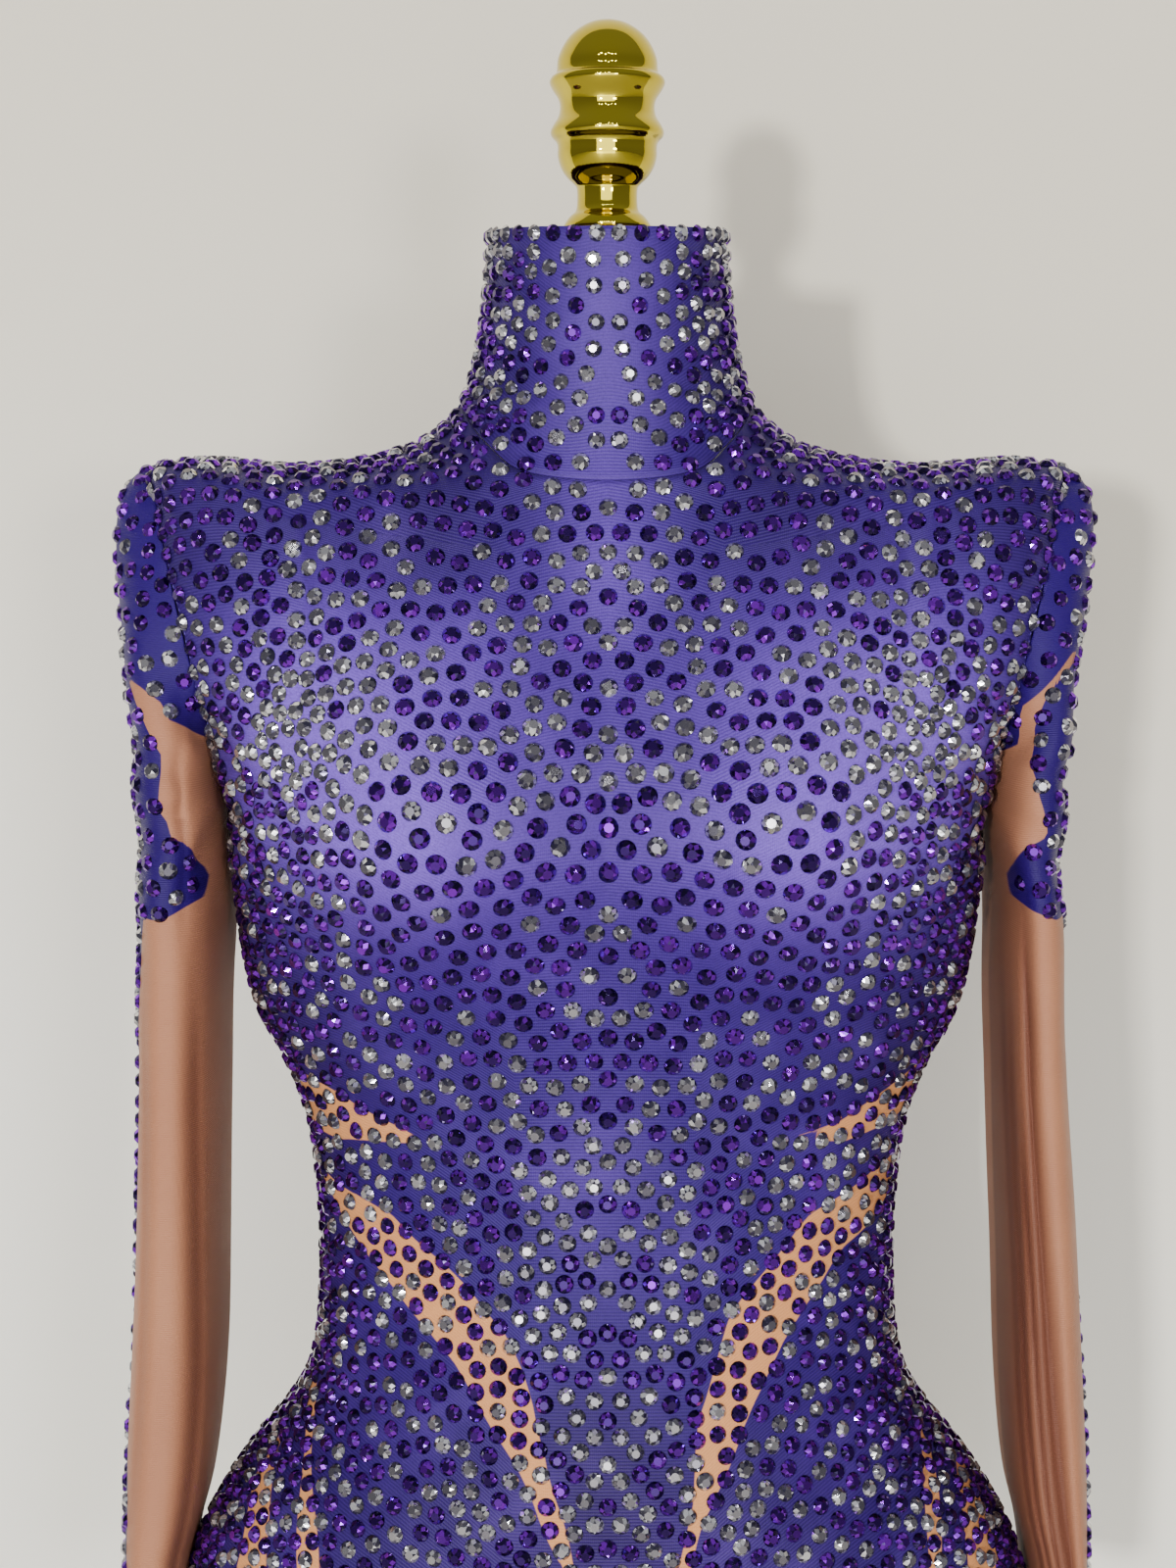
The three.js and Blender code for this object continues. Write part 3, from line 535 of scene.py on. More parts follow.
def band_edge(x, z):
    """Distance in mm to the nearest nude band's edge, less than 0 inside the band."""
    wave = 0.7 * np.sin(z / 9.0 + x / 23.0) + 0.5 * np.sin(x / 7.0 - z / 15.0)
    nearest = np.full(x.shape, 99.0)
    for band in BANDS:
        for a, b in zip(band, band[1:]):
            away, t = from_line(x, z, (a[0], a[1], b[0], b[1]))
            nearest = np.minimum(nearest, away - a[2] - t * (b[2] - a[2]))
    return nearest + wave * (nearest > -6)


def glow(x, z, places):
    """A sum of soft bells, one for each (x, z, spread across, spread up, strength)."""
    total = np.zeros(np.shape(x))
    for px, pz, sx, sz, much in places:
        total = total + much * np.exp(-(((np.abs(x) - px) / sx) ** 2) - ((z - pz) / sz) ** 2)
    return np.clip(total, 0, 1)


# x, z, spread across, spread up, strength
# the lilac glow: partly print, partly a painted highlight where the bust, the neck and the belly face the
# light
LILAC_PRINT_AND_HIGHLIGHT = [
    (122, 772, 36, 50, 0.95),
    (80, 735, 48, 38, 0.8),
    (70, 792, 38, 30, 0.45),
    (0, 750, 34, 56, 0.22),
    (0, 835, 24, 40, 0.3),
    (0, 925, 26, 60, 0.3),
    (0, 590, 24, 60, 0.1),
]
# the indigo: partly print, partly painted shade on the sides, the shoulders, the neck's sides and low on
# the belly
INDIGO_PRINT_AND_SHADE = [
    (150, 610, 44, 80, 1.0),
    (185, 430, 80, 90, 0.6),
    (0, 410, 100, 70, 0.6),
    (64, 935, 31, 60, 1.0),
    (185, 850, 40, 34, 0.25),
    (160, 730, 16, 50, 0.5),
    (82, 850, 40, 26, 0.4),
    (180, 860, 50, 40, 0.35),
    (0, 470, 60, 46, 0.3),
]


def print_facts(outer, bands=True, lilac=1.0):
    """The numbers that the print's material reads at each point. Nude bands are in front only. lilac is
    partly print and partly painted highlight, and indigo is partly print and partly painted shade.
    """
    x, z = outer[..., 0], outer[..., 2]
    if not bands:
        nude = np.full(x.shape, 20.0)
    else:
        nude = np.where(outer[..., 1] < 6, band_edge(x, z), 20.0)
    return {
        "nude": nude,
        "lilac": lilac * glow(x, z, LILAC_PRINT_AND_HIGHLIGHT),
        "indigo": glow(x, z, INDIGO_PRINT_AND_SHADE),
    }


# %% [markdown]
# ## Cut and sew the bodice and the collar
# The front is one wide piece, the back is two halves that meet at the zip, and the collar is a band that
# opens at the back. All of them are stretched over the form.

# %% Front
FRONT_ROWS, BACK_ROWS = (96, 60, 14), (72, 40, 12)  # below, beside and above the armhole
left_half = panel(1, FRONT, FRONT_ROWS, 86)
right_half = left_half * np.array([-1, 1, 1])
front_face = np.concatenate([right_half, left_half[:, -2::-1]], axis=1)
front_face = creased(front_face)
front_face = front_face + grid_normals(front_face) * seam_waves(front_face, FRONT_ROWS)[..., None]
front = cloth("bodice_front_cloth", front_face, facts=print_facts(front_face))
ride(front, "bodice_cloth", "bodice_front")

# %% Backs
back_faces = {}
for side, word in ((1, "left"), (-1, "right")):
    face = panel(side, BACK, BACK_ROWS, 56)
    if side > 0:
        face = face[:, ::-1]
    back_faces[word] = face
    facts = print_facts(face, bands=False, lilac=0.3)
    half = cloth("bodice_back_" + word + "_cloth", face, facts=facts)
    ride(half, "bodice_cloth", "bodice_back_" + word)
    MADE["back_" + word] = half

# %% Collar
turn = np.linspace(-2, 2, 241)
turn[[0, -1]] = [-1.994, 1.994]
rise = np.linspace(0, 1, 44)[:, None]
parts = []
for facing in (BACK, FRONT):
    share = np.abs(np.abs(turn) - 1)
    z = neck_seam(share, facing) + SEAM
    z = z + rise * (collar_top(share, facing) - z)
    parts.append(skin(np.where(turn < 0, -1, 1), facing, share[None], z))
collar_face = np.where((np.abs(turn) > 1)[None, :, None], parts[0], parts[1])
collar_face = creased(collar_face)
fold = smooth(0.86, 0.9, rise) * 0.35
collar_face = collar_face + grid_normals(collar_face) * fold[..., None]
collar = cloth("stand_collar_cloth", collar_face, facts=print_facts(collar_face, bands=False))
ride(collar, "bodice_cloth", "stand_collar")
collar_points = collar_face.reshape(-1, 3)
print("collar", np.round(collar_points.min(0)), np.round(collar_points.max(0)))

# %% Gusset tabs
HALF_TAB, TAB_ROLL = 34, 13
# level of the tab's lower face, and how near to the middle it runs
UNDER_FORM, BESIDE_POLE = 298.1, 23


def gusset_face(facing):
    """A strip that turns under the form's edge on a quarter circle and runs in to the pole."""
    side = column(BODY, SIDE, np.array([TAB_BOTTOM]))[0]
    reach = column(BODY, facing, np.array([TAB_BOTTOM]))[0]
    power = column(BODY, POWER, np.array([TAB_BOTTOM]))[0]
    x = np.linspace(-HALF_TAB, HALF_TAB, 25)[None]
    edge = reach * (1 - (np.abs(x) / side) ** power) ** (1 / power)
    turn = np.concatenate([np.linspace(0, np.pi / 2, 14), np.full(16, np.pi / 2)])[:, None]
    along = np.concatenate([np.zeros(14), np.arange(1, 17) / 16])[:, None]
    top = TAB_BOTTOM - 0.3
    y = edge - TAB_ROLL * (1 - np.cos(turn))
    y = y + (BESIDE_POLE - y) * along
    z = top - (top - UNDER_FORM) * np.sin(turn)
    towards = -1 if facing == FRONT else 1
    return np.stack([x + 0 * y, towards * y, z + 0 * y], -1)


for facing, word in ((FRONT, "front"), (BACK, "back")):
    face = gusset_face(facing)
    if facing == BACK:
        face = face[:, ::-1]
    tab = cloth("gusset_" + word + "_cloth", face, facts=print_facts(face, bands=False))
    ride(tab, "bodice_cloth", "gusset_" + word)

# %% [markdown]
# ## The zip's tape
# The back closes with a concealed zip. Its slider shows at the top, and behind the closed slit runs
# the tape that the teeth are woven on. It is a plain strip, just inside the two backs.

# %% Zip tape
TAPE_DEPTH = 1.05
z = np.linspace(560, 964, 120)[:, None]
x = np.linspace(-12, 12, 9)[None]
quarter_length = np.interp(z, LEVELS, RINGS[BACK][2])
tape_face = skin(np.sign(x + 1e-9), BACK, 1 - np.abs(x) / quarter_length, z + 0 * x)
tape_face = tape_face - outwards(tape_face) * TAPE_DEPTH
tape_facts = print_facts(tape_face, bands=False)
tape = cloth("zip_tape", tape_face[:, ::-1], thickness=0.5, facts=tape_facts)
ride(tape, "zip_metal")

# %% [markdown]
# ## The sleeves
# An empty sleeve hangs nearly flat, edge on to the front, so each level is a narrow rounded
# box. The table gives the distance of its two faces from the middle of the form, its half depth
# and its middle. Above the armpit the rings close in over the shoulder pad and end at the
# armhole's own edge. Folds run down the cloth where it has room.

# %% Sleeve tables
# level, inner face, outer face, half depth, middle
SLEEVE = np.array(
    [
        (300, 187.6, 211.5, 40, 4),
        (345, 188, 212, 43, 5),
        (380, 187.6, 212, 45, 6),
        (402, 184.5, 212, 46.5, 6),
        (425, 178.5, 211.5, 48, 6),
        (455, 174, 210, 49, 6),
        (490, 171, 207.5, 51, 6),
        (540, 169.5, 204, 53, 5),
        (600, 168, 201, 55, 4),
        (660, 166, 199, 57, 3),
        (705, 164.5, 197.5, 58.5, 3),
        (732, 164, 197.5, 59, 3),
    ]
)
SLEEVE_TOP, CUFF = 732.0, 300.0
# turn in degrees (90 is the front edge), depth, half width in degrees, low end, high end
# 1 is the wearer's left sleeve, -1 the right one
FOLDS = {
    1: [
        (105, 4.8, 10, 300, 730),
        (124, 3.0, 6, 300, 640),
        (138, 3.0, 6, 300, 690),
        (152, 2.4, 7, 330, 700),
        (252, 4, 13, 330, 660),
    ],
    -1: [
        (104, 2.6, 7, 700, 830),
        (126, 3.5, 13, 320, 700),
        (62, 1.2, 9, 420, 700),
        (270, 4, 12, 340, 640),
    ],
}
TUBE_ROWS, CAP_ROWS, AROUND = 104, 40, 104
SLEEVE_TURN = (2 * np.pi * np.arange(AROUND) / AROUND)[None]

# %% [markdown]
# ## The shape of a sleeve
# The two sleeves don't hang alike. The left one is a little narrower, dips in below its cap, and its front
# folds slant. The depth of the folds is worked out by a function of its own, because the satin's colour
# needs it too: the satin is painted darker where it is folded in, as painted shade in the folds.

# %% Sleeve rings
def bell(z, middle, spread):
    """1 at the middle level, and down to 0 on both sides of it."""
    return np.exp(-(((z - middle) / spread) ** 2))


def fold_pull(side, turn, z):
    """How far the folds pull the cloth in: for each fold a bell curve of the turn, which sways
    with the level and fades at both ends."""
    pull = 0 * turn + 0 * z
    for middle, depth, wide, low, high in FOLDS[side]:
        sway = 3.5 * np.sin(z / 61.0 + middle)
        if side > 0 and middle < 180:
            sway = 0.4 * sway + 0.1 * (z - 600)
        across = np.exp(-(((np.degrees(turn) - middle - sway) / wide) ** 2))
        ends = smooth(low - 40, low + 60, z) * (1 - smooth(high - 90, high, z))
        pull = pull + 1.15 * depth * across * ends
    return pull


def sleeve_ring(side, turn, z):
    """A rounded box round the sleeve's middle, pulled in along each fold."""
    inner, outer = column(SLEEVE, 1, z), column(SLEEVE, 2, z)
    if side > 0:
        outer = outer - (6 * bell(z, 722, 55) + 4 * bell(z, 635, 60))
        inner = inner + 2.4 * (1 - smooth(690, 725, z)) + 2.4 * bell(z, 500, 70)
    deep, mid = column(SLEEVE, 3, z), column(SLEEVE, 4, z)
    c, s = np.cos(turn), np.sin(turn)
    power = 2 / 2.5
    x = (inner + outer) / 2 + (outer - inner) / 2 * np.sign(c) * np.abs(c) ** power
    y = mid - (deep - fold_pull(side, turn, z)) * np.sign(s) * np.abs(s) ** power
    return np.stack([side * x, y, z + 0 * x], -1)


def sleeve_cap(side, turn, t):
    """From the highest ring, straight up, then in over the pad to the armhole: a cubic curve for
    each angle, with a bulge at the shoulder."""
    start = sleeve_ring(side, turn, SLEEVE_TOP + 0 * turn)
    level = TIP_LEVEL * (1 + np.cos(turn)) / 2
    share = np.maximum(armhole_share(level), EDGE_GAP)
    ends = []
    for facing in (FRONT, BACK):
        z = UNDERARM + level * (neck_seam(share, facing) - SEAM - UNDERARM)
        ends.append(skin(side, facing, share, z))
    end = np.where((np.sin(turn) >= 0)[..., None], ends[0], ends[1])
    high = (1 + np.cos(turn)) / 2
    end[..., 0] += side * 0.12
    end[..., 2] += np.where(high < 0.02, 0.2, 0)
    rise = end[..., 2] - start[..., 2]
    top = high * high
    zero = 0 * turn
    up = np.stack([zero, zero, rise * (1 + 1.2 * top)], -1)
    inward = np.stack([-side * (4 + 62 * top), zero, rise * (1 - top) * 0.8], -1)
    t2, t3 = t * t, t * t * t
    bulge = np.stack([side * 3.5 * 4 * t * (1 - t) * high, zero, zero], -1)
    t2, t3, t = t2[..., None], t3[..., None], t[..., None]
    curve = (2 * t3 - 3 * t2 + 1) * start + (t3 - 2 * t2 + t) * up
    return curve + (3 * t2 - 2 * t3) * end + (t3 - t2) * inward + bulge


def sleeve_face(side):
    """The outer face of a sleeve: the rings of the tube, and above them the cap's."""
    z = np.linspace(CUFF, SLEEVE_TOP, TUBE_ROWS + 1)[:, None]
    low = sleeve_ring(side, SLEEVE_TURN + 0 * z, z + 0 * SLEEVE_TURN)
    t = (np.arange(1, CAP_ROWS + 1) / CAP_ROWS)[:, None]
    high = sleeve_cap(side, SLEEVE_TURN + 0 * t, t + 0 * SLEEVE_TURN)
    return np.concatenate([low, high], axis=0)


# %% [markdown]
# ## The sleeves' own wrinkles and print
# The outer half of each sleeve is violet and the rest is satin the colour of skin. The colours
# meet along the sleeve, in a notch under the shoulder and in a leaf-shaped point below it. The
# angle of the long edge is a table of levels. Fine wrinkles at the armpit fan out from it.

# %% Sleeve print
# level, angle of the front edge of the violet, in degrees from the outside
EDGES = {
    -1: [
        (290, 62), (400, 52), (440, 40), (480, 14), (560, 28), (640, 36), (680, 48), (692, 60), (700, 75),
        (722, 94), (729, 97), (737, 86), (748, 86), (760, 88), (774, 72), (788, 52), (802, 40),
    ],
    1: [
        (290, 64), (380, 60), (410, 48), (440, 32), (500, 22), (545, 4), (580, -18), (640, -18), (675, 8),
        (690, 40), (700, 70), (722, 84), (740, 92), (755, 103), (770, 104), (786, 84), (799, 52), (808, 40),
    ],
}
BACK_EDGE = -72  # the violet's edge behind, also in degrees from the outside
# x and z of the leaf's outline, and of the violet's lower edge on the cap
LEAF = [(200, 738), (183, 727), (173, 722), (167, 709), (168.5, 699), (184, 691), (200, 692)]
CAP_EDGE = {
    -1: [
        (150, 752), (165, 763), (173, 770), (180, 774),
        (181.5, 780), (190, 787), (198, 792), (206, 794),
    ],
    1: [(150, 744), (160, 751), (170, 763), (171.5, 779), (181, 790), (190, 801), (206, 803)],
}


def inside_polygon(x, z, corners):
    """Distance to a closed outline, less than 0 inside: nearest side, and a crossing count."""
    away = np.full(x.shape, 99.0)
    within = np.zeros(x.shape, bool)
    for (ax, az), (bx, bz) in zip(corners, corners[1:] + corners[:1]):
        near, _ = from_line(x, z, (ax, az, bx, bz))
        away = np.minimum(away, near)
        crosses = (az > z) != (bz > z)
        slope = np.where(crosses, (bx - ax) * (z - az) / ((bz - az) or 1e-9) + ax, -1e9)
        within ^= crosses & (x < slope)
    return np.where(within, -away, away)


def read_table(pairs, values):
    """The second number of a short table of pairs, read at values of the first."""
    first, second = np.array(pairs, float).T
    return np.interp(values, first, second)


def sleeve_facts(side, face):
    """The numbers that the satin's material reads at each point. nude is a distance in mm, above 0 on the
    violet outer half, the cap and the leaf. fold is painted shade: 1 where a fold is deep, and on the left
    sleeve also over the inner half, a painted shadow of the bust. indigo darkens the violet under the arm
    and down the outer face, also painted shade."""
    x, z = np.abs(face[..., 0]), face[..., 2]
    turn = 360 * np.arange(AROUND) / AROUND
    turn = np.where(turn > 180, turn - 360, turn)[None]
    limit = read_table(EDGES[side], z) + 2.5 * np.sin(z / 17.0) + 1.5 * np.sin(z / 7.3)
    around_front = (turn - limit) * 0.55
    around_back = (BACK_EDGE - turn) * 0.55
    outer_half = np.maximum(around_front, around_back)
    above = (read_table(CAP_EDGE[side], x) - z) * 0.7
    leaf = inside_polygon(x, z, LEAF)
    violet = np.minimum(np.minimum(outer_half, above), leaf)
    fold = np.zeros(face.shape[:2])
    # painted shade in the folds: the deeper a fold pulls the cloth in, the darker the satin
    fold[: TUBE_ROWS + 1] = fold_pull(side, SLEEVE_TURN, z[: TUBE_ROWS + 1]) / 5.5
    # painted shadow: the left sleeve's inner half, which the bust shades from the main lamp, is darkened
    # through the fold number
    if side > 0:
        low = smooth(300, 380, z) * (1 - smooth(700, 760, z))
        painted_bust_shadow = smooth(98, 112, turn - 0.1 * (z - 600)) + 0.5 * smooth(135, 165, turn)
        fold += 0.45 * low * painted_bust_shadow * (1 - smooth(200, 230, turn))
    fold = np.clip(fold, 0, 1)
    return {
        "nude": -violet,
        "fold": fold,
        "lilac": 0.25 * glow(x, z, [(204, 850, 12, 50, 1.0)]),
        # painted shade: the violet darkens under the arm and down the outer face
        "indigo": glow(x, z, [(150, 740, 22, 40, 0.9), (205, 560, 30, 240, 0.5)]),
    }


def armpit_wrinkles(side, face):
    """Short folds that fan out from the armpit, and faint ones where the cap meets the sleeve."""
    x, y, z = np.abs(face[..., 0]), face[..., 1], face[..., 2]
    from_pit = np.hypot(z - 745, (x - 165) * 1.6)
    angle = np.arctan2(z - 745, (x - 160) * 1.6)
    fan = np.sin(angle * 9 + side) * smooth(6, 26, from_pit) * (1 - smooth(40, 92, from_pit))
    top = face[-1:]
    along = np.cumsum(np.linalg.norm(top - np.roll(top, 1, axis=1), axis=-1), axis=1)
    seam = pucker(along, np.linalg.norm(face - top, axis=-1))
    long = np.sin(z / 11.0 + 2.2 * np.sin(y / 19.0) + side * 1.7)
    move = 1.3 * fan + 0.35 * long * bell(z, 690, 60) + seam
    return face + grid_normals(face, True) * move[..., None]


sleeve_faces = {}
for side, word in ((1, "left"), (-1, "right")):
    face = sleeve_face(side)
    if side < 0:
        face = face[:, ::-1]
        facts = sleeve_facts(side, face[:, ::-1])
        facts = {name: values[:, ::-1] for name, values in facts.items()}
    else:
        facts = sleeve_facts(side, face)
    face = armpit_wrinkles(side, face)
    sleeve_faces[word] = (face, facts["nude"])
    tube = cloth("sleeve_" + word + "_cloth", face, closed=True, facts=facts)
    ride(tube, "sleeve_cloth", "sleeve_" + word)
print("cloth made in", round(time.time() - START, 1), "s")

# %% [markdown]
# ## Stitches
# The armholes are sewn with one row of stitches and the leg openings and cuffs are turned up
# with two. A stitch is a short thread that dives into the cloth at both ends, so a stretched
# octahedron is enough. They are placed at equal steps along a line that is read off the panel.

# %% Sewing
def at(grid, r, c, closed=False):
    """A grid of points read between its entries, at fractional rows and columns."""
    rows, cols = grid.shape[:2]
    r = np.clip(r, 0, rows - 1.001)
    i, a = r.astype(int), (r % 1)[:, None]
    if closed:
        c = c % cols
        j = c.astype(int) % cols
        n = (j + 1) % cols
    else:
        c = np.clip(c, 0, cols - 1.001)
        j = c.astype(int)
        n = j + 1
    b = (c - np.floor(c))[:, None]
    low = grid[i, j] * (1 - b) + grid[i, n] * b
    high = grid[i + 1, j] * (1 - b) + grid[i + 1, n] * b
    return low * (1 - a) + high * a


STITCH = np.array([(-1, 0, 0), (1, 0, 0), (0, 0.17, 0), (0, 0, 0.24), (0, -0.17, 0), (0, 0, -0.24)])
STITCH_FACES = np.array(
    [(0, 3, 2), (0, 4, 3), (0, 5, 4), (0, 2, 5), (1, 2, 3), (1, 3, 4), (1, 4, 5), (1, 5, 2)]
)


def read_along(values, reach, lengths):
    """Rows of values read at lengths along a line, where reach is the length at each row."""
    return np.stack([np.interp(lengths, reach, v) for v in values.T], -1)


def lengths_along(line):
    """The length of a line of points from its start to each of them."""
    return np.concatenate([[0], np.cumsum(np.linalg.norm(np.diff(line, axis=0), axis=1))])


def stitches(name, runs, step=3.3, length=2.3):
    """Stretched octahedra at equal steps along lines. runs are pairs of points and normals."""
    centres, ahead, up = [], [], []
    for line, ways in runs:
        reach = lengths_along(line)
        s = np.arange(step, reach[-1] - step, step)
        centres.append(read_along(line, reach, s))
        way = read_along(line, reach, s + 0.8) - read_along(line, reach, s - 0.8)
        ahead.append(way / np.linalg.norm(way, axis=1, keepdims=True))
        up.append(read_along(ways, reach, s))
    centre, u, w = (np.concatenate(v)[:, None] for v in (centres, ahead, up))
    v = np.cross(w, u)
    x, y, z = (STITCH[None, :, k : k + 1] * length / 2 for k in range(3))
    points = centre + w * 0.06 + x * u + y * v + z * w
    faces = (STITCH_FACES[None] + 6 * np.arange(len(centre))[:, None, None]).reshape(-1, 3)
    thing = mesh_from(name, points.reshape(-1, 3) / 1000, faces.ravel(), np.full(len(faces), 3))
    return ride(thing, "bodice_cloth")


def line_on(face, rows, cols, closed=False):
    """Points and normals of a grid at the given rows and columns."""
    rows, cols = np.broadcast_arrays(np.asarray(rows, float), np.asarray(cols, float))
    return at(face, rows, cols, closed), at(outwards(face, closed), rows, cols, closed)


wide = front_face.shape[1] - 1
hole = np.arange(FRONT_ROWS[0] + 1, FRONT_ROWS[0] + FRONT_ROWS[1] - 1)
stitches("stitches_armholes", [line_on(front_face, hole, c) for c in (1.1, wide - 1.1)])
all_cols = np.arange(0.0, wide)
legs = [line_on(front_face, r, all_cols) for r in (0.75, 1.25)]
for word in ("left", "right"):
    face = back_faces[word]
    legs += [line_on(face, r, np.arange(0.0, face.shape[1] - 1)) for r in (0.6, 1.05)]
stitches("stitches_leg_openings", legs)
cuffs = []
for word in ("left", "right"):
    face = sleeve_faces[word][0]
    cuffs += [line_on(face, r, np.arange(0.0, face.shape[1] + 1), closed=True) for r in (1.5, 2.2)]
stitches("stitches_cuffs", cuffs)

# %% [markdown]
# ## Rhinestones
# A flat-back stone is a low faceted dome: an eight-sided table on top, eight triangles and eight
# kites round it, and a ring of narrow facets down to the widest line. Thousands of them are glued
# on, so one stone has only 34 faces, and all stones of one colour on one panel are a
# single mesh, made by moving one stone's points to every place at once.

# %% One stone
def circle(count, radius, height, start=0.0):
    """Points at equal turns on a circle, for a stone of radius 1 and height 1."""
    turn = 2 * (np.pi / count) * np.arange(count) + start
    return np.stack([radius * np.cos(turn), radius * np.sin(turn), np.full(count, height)], -1)


# corners of the table, of the kites, and of the widest line
STONE = np.concatenate([circle(8, 0.47, 1.0), circle(8, 0.78, 0.62, np.pi / 8), circle(16, 1.0, 0.16)])
STONE_FACES = [list(range(8))]
STONE_FACES += [[i, 8 + i, (i + 1) % 8] for i in range(8)]
STONE_FACES += [[i, 8 + (i - 1) % 8, 16 + 2 * i, 8 + i] for i in range(8)]
STONE_FACES += [[8 + i, 16 + 2 * i, 17 + 2 * i] for i in range(8)]
STONE_FACES += [[8 + i, 17 + 2 * i, 16 + (2 * i + 2) % 16] for i in range(8)]
STONE_FACES += [[16 + i for i in range(15, -1, -1)]]
print("faces of one stone:", len(STONE_FACES))

# %% [markdown]
# ## Where the stones go
# Stones are set by eye: evenly, but not on a grid, closer together on the outer bust and wider
# apart on the full of it. That is a blue-noise pattern. Places are tried in random order and
# kept if no stone is too near, and then all the stones push each other apart a few times. The
# pattern is worked out on one half and mirrored, as on the real garment.

# %% Stone fields
def seen(spots):
    """x and z of places, which is how they lie in the front view."""
    return spots[:, 0], spots[:, 2]


def stone_size(x, z):
    """Diameter in mm: large on the bust, smaller on the neck, shoulders and hips."""
    size = 7.5 + 0.8 * np.exp(-(((z - 725) / 70) ** 2)) * (1 - 0.9 * smooth(90, 125, np.abs(x)))
    return size - 0.6 * smooth(870, 915, z)


def spacing(x, z):
    """Millimetres from stone to stone, from the front view: wide at mid bust, tight outside."""
    x = np.abs(x)
    gap = np.full(x.shape, 10.7)
    gap += 1.7 * np.exp(-(((x - 40) / 60) ** 2) - ((z - 716) / 44) ** 2)
    gap -= 2.9 * np.exp(-(((x - 126) / 30) ** 2) - ((z - 778) / 55) ** 2)
    gap -= 0.9 * (1 - smooth(560, 650, z))
    gap -= 1.3 * smooth(95, 150, x) * (1 - smooth(690, 740, z))
    gap -= smooth(866, 900, z) * (0.5 + 1.9 * smooth(20, 44, x))
    gap -= 0.6 * smooth(100, 165, x) * smooth(800, 850, z)
    return np.maximum(gap, stone_size(x, z) + 0.45)


# x, z, spread across, spread up, how much is added to the chance
VIOLET_SHARE = [
    (0, 940, 31, 66, -0.66),
    (170, 850, 60, 45, 0.14),
    (60, 880, 40, 24, 0.10),
    (0, 830, 24, 60, -0.45),
    (110, 776, 42, 50, -0.72),
    (0, 560, 46, 80, -0.42),
    (0, 440, 60, 60, -0.3),
    (70, 700, 60, 60, 0.12),
    (150, 600, 40, 90, 0.1),
]


def violet_share(x, z):
    """The chance that a stone is violet rather than clear: one value, and bells added to it."""
    x = np.abs(x)
    chance = np.full(x.shape, 0.68)
    for px, pz, sx, sz, much in VIOLET_SHARE:
        chance = chance + much * np.exp(-(((x - px) / sx) ** 2) - ((z - pz) / sz) ** 2)
    return np.clip(chance, 0.08, 0.95)


def try_places(face, seed, keep, start, closed, tries, tight=0.74):
    """Random rows and columns of a grid, more of them where a step spans more cloth. They are
    kept in turn if no stone kept before is too near, and the start places come first."""
    rng = np.random.default_rng(seed)
    cols = face.shape[1]
    area = np.linalg.norm(np.cross(*slopes(face, closed)), axis=-1)
    weight = (area / area.sum()).ravel()
    pick = rng.choice(len(weight), size=tries, p=weight)
    r = pick // cols + rng.uniform(-0.5, 0.5, tries)
    c = pick % cols + rng.uniform(-0.5, 0.5, tries)
    r, c = np.concatenate([start[0], r]), np.concatenate([start[1], c])
    spot = at(face, r, c, closed)
    gap = spacing(*seen(spot))
    fine = keep(spot, r, c) > 0
    fine[: len(start[0])] = True
    kept = np.empty((0, 3))
    limits = np.empty(0)
    chosen = []
    for k in np.flatnonzero(fine):
        need = (limits + gap[k]) * 0.5 * tight
        if len(chosen) and np.any(np.sum((kept - spot[k]) ** 2, axis=1) < need**2):
            continue
        chosen.append(k)
        kept = np.concatenate([kept, spot[k : k + 1]])
        limits = np.append(limits, gap[k])
    return r[chosen], c[chosen], int(np.sum(np.array(chosen) < len(start[0])))


def push_apart(face, r, c, fixed, keep, closed, rounds=16):
    """Moves places along the cloth, away from all that are nearer than their spacing. The first
    fixed places stay, and no place leaves the area that has stones."""
    down, across = slopes(face, closed)
    for _ in range(rounds):
        spot = at(face, r, c, closed)
        gap = spacing(*seen(spot))
        apart = spot[:, None] - spot[None]
        length = np.linalg.norm(apart, axis=-1) + np.eye(len(r)) * 1e6
        want = (gap[:, None] + gap[None]) * 0.5 * 1.04
        push = np.maximum(want - length, 0) / length
        move = np.sum(apart * push[..., None], axis=1) * 0.30
        along, sideways = at(down, r, c, closed), at(across, r, c, closed)
        dr = np.sum(move * along, axis=1) / np.maximum(np.sum(along**2, axis=1), 1e-6)
        dc = np.sum(move * sideways, axis=1) / np.maximum(np.sum(sideways**2, axis=1), 1e-6)
        dr[:fixed] = 0
        dc[:fixed] = 0
        nr, nc = r + np.clip(dr, -2, 2), c + np.clip(dc, -3, 3)
        ok = keep(at(face, nr, nc, closed), nr, nc) > 0
        r, c = np.where(ok, nr, r), np.where(ok, nc, c)
    return r, c


def scatter(face, seed, keep, start=((), ()), closed=False, tries=42000):
    """Stone places on a grid face as rows and columns, and how many of them were set at the
    start. keep says how far, in mm, a place is inside the area that has stones."""
    r, c, fixed = try_places(face, seed, keep, start, closed, tries)
    r, c = push_apart(face, r, c, fixed, keep, closed)
    spot = at(face, r, c, closed)
    size = stone_size(*seen(spot))
    apart = np.linalg.norm(spot[:, None] - spot[None], axis=-1)
    crowded = (apart < (size[:, None] + size[None]) * 0.475) & np.tri(len(r), k=-1, dtype=bool)
    left = np.ones(len(r), bool)
    for k in np.flatnonzero(crowded.any(axis=1)):
        left[k] = not np.any(left & crowded[k])
    return r[left], c[left], fixed


# %% [markdown]
# ## Setting the stones
# Each place gets a small frame: the cloth's normal as the way up, and two directions in the
# cloth. The stone's own points are turned into that frame, scaled, and shifted, for all stones at
# once. Every stone is tipped by a few degrees and turned at random, because that is what makes a
# stoned costume glitter unevenly. Each facet stores a random number for its brightness.

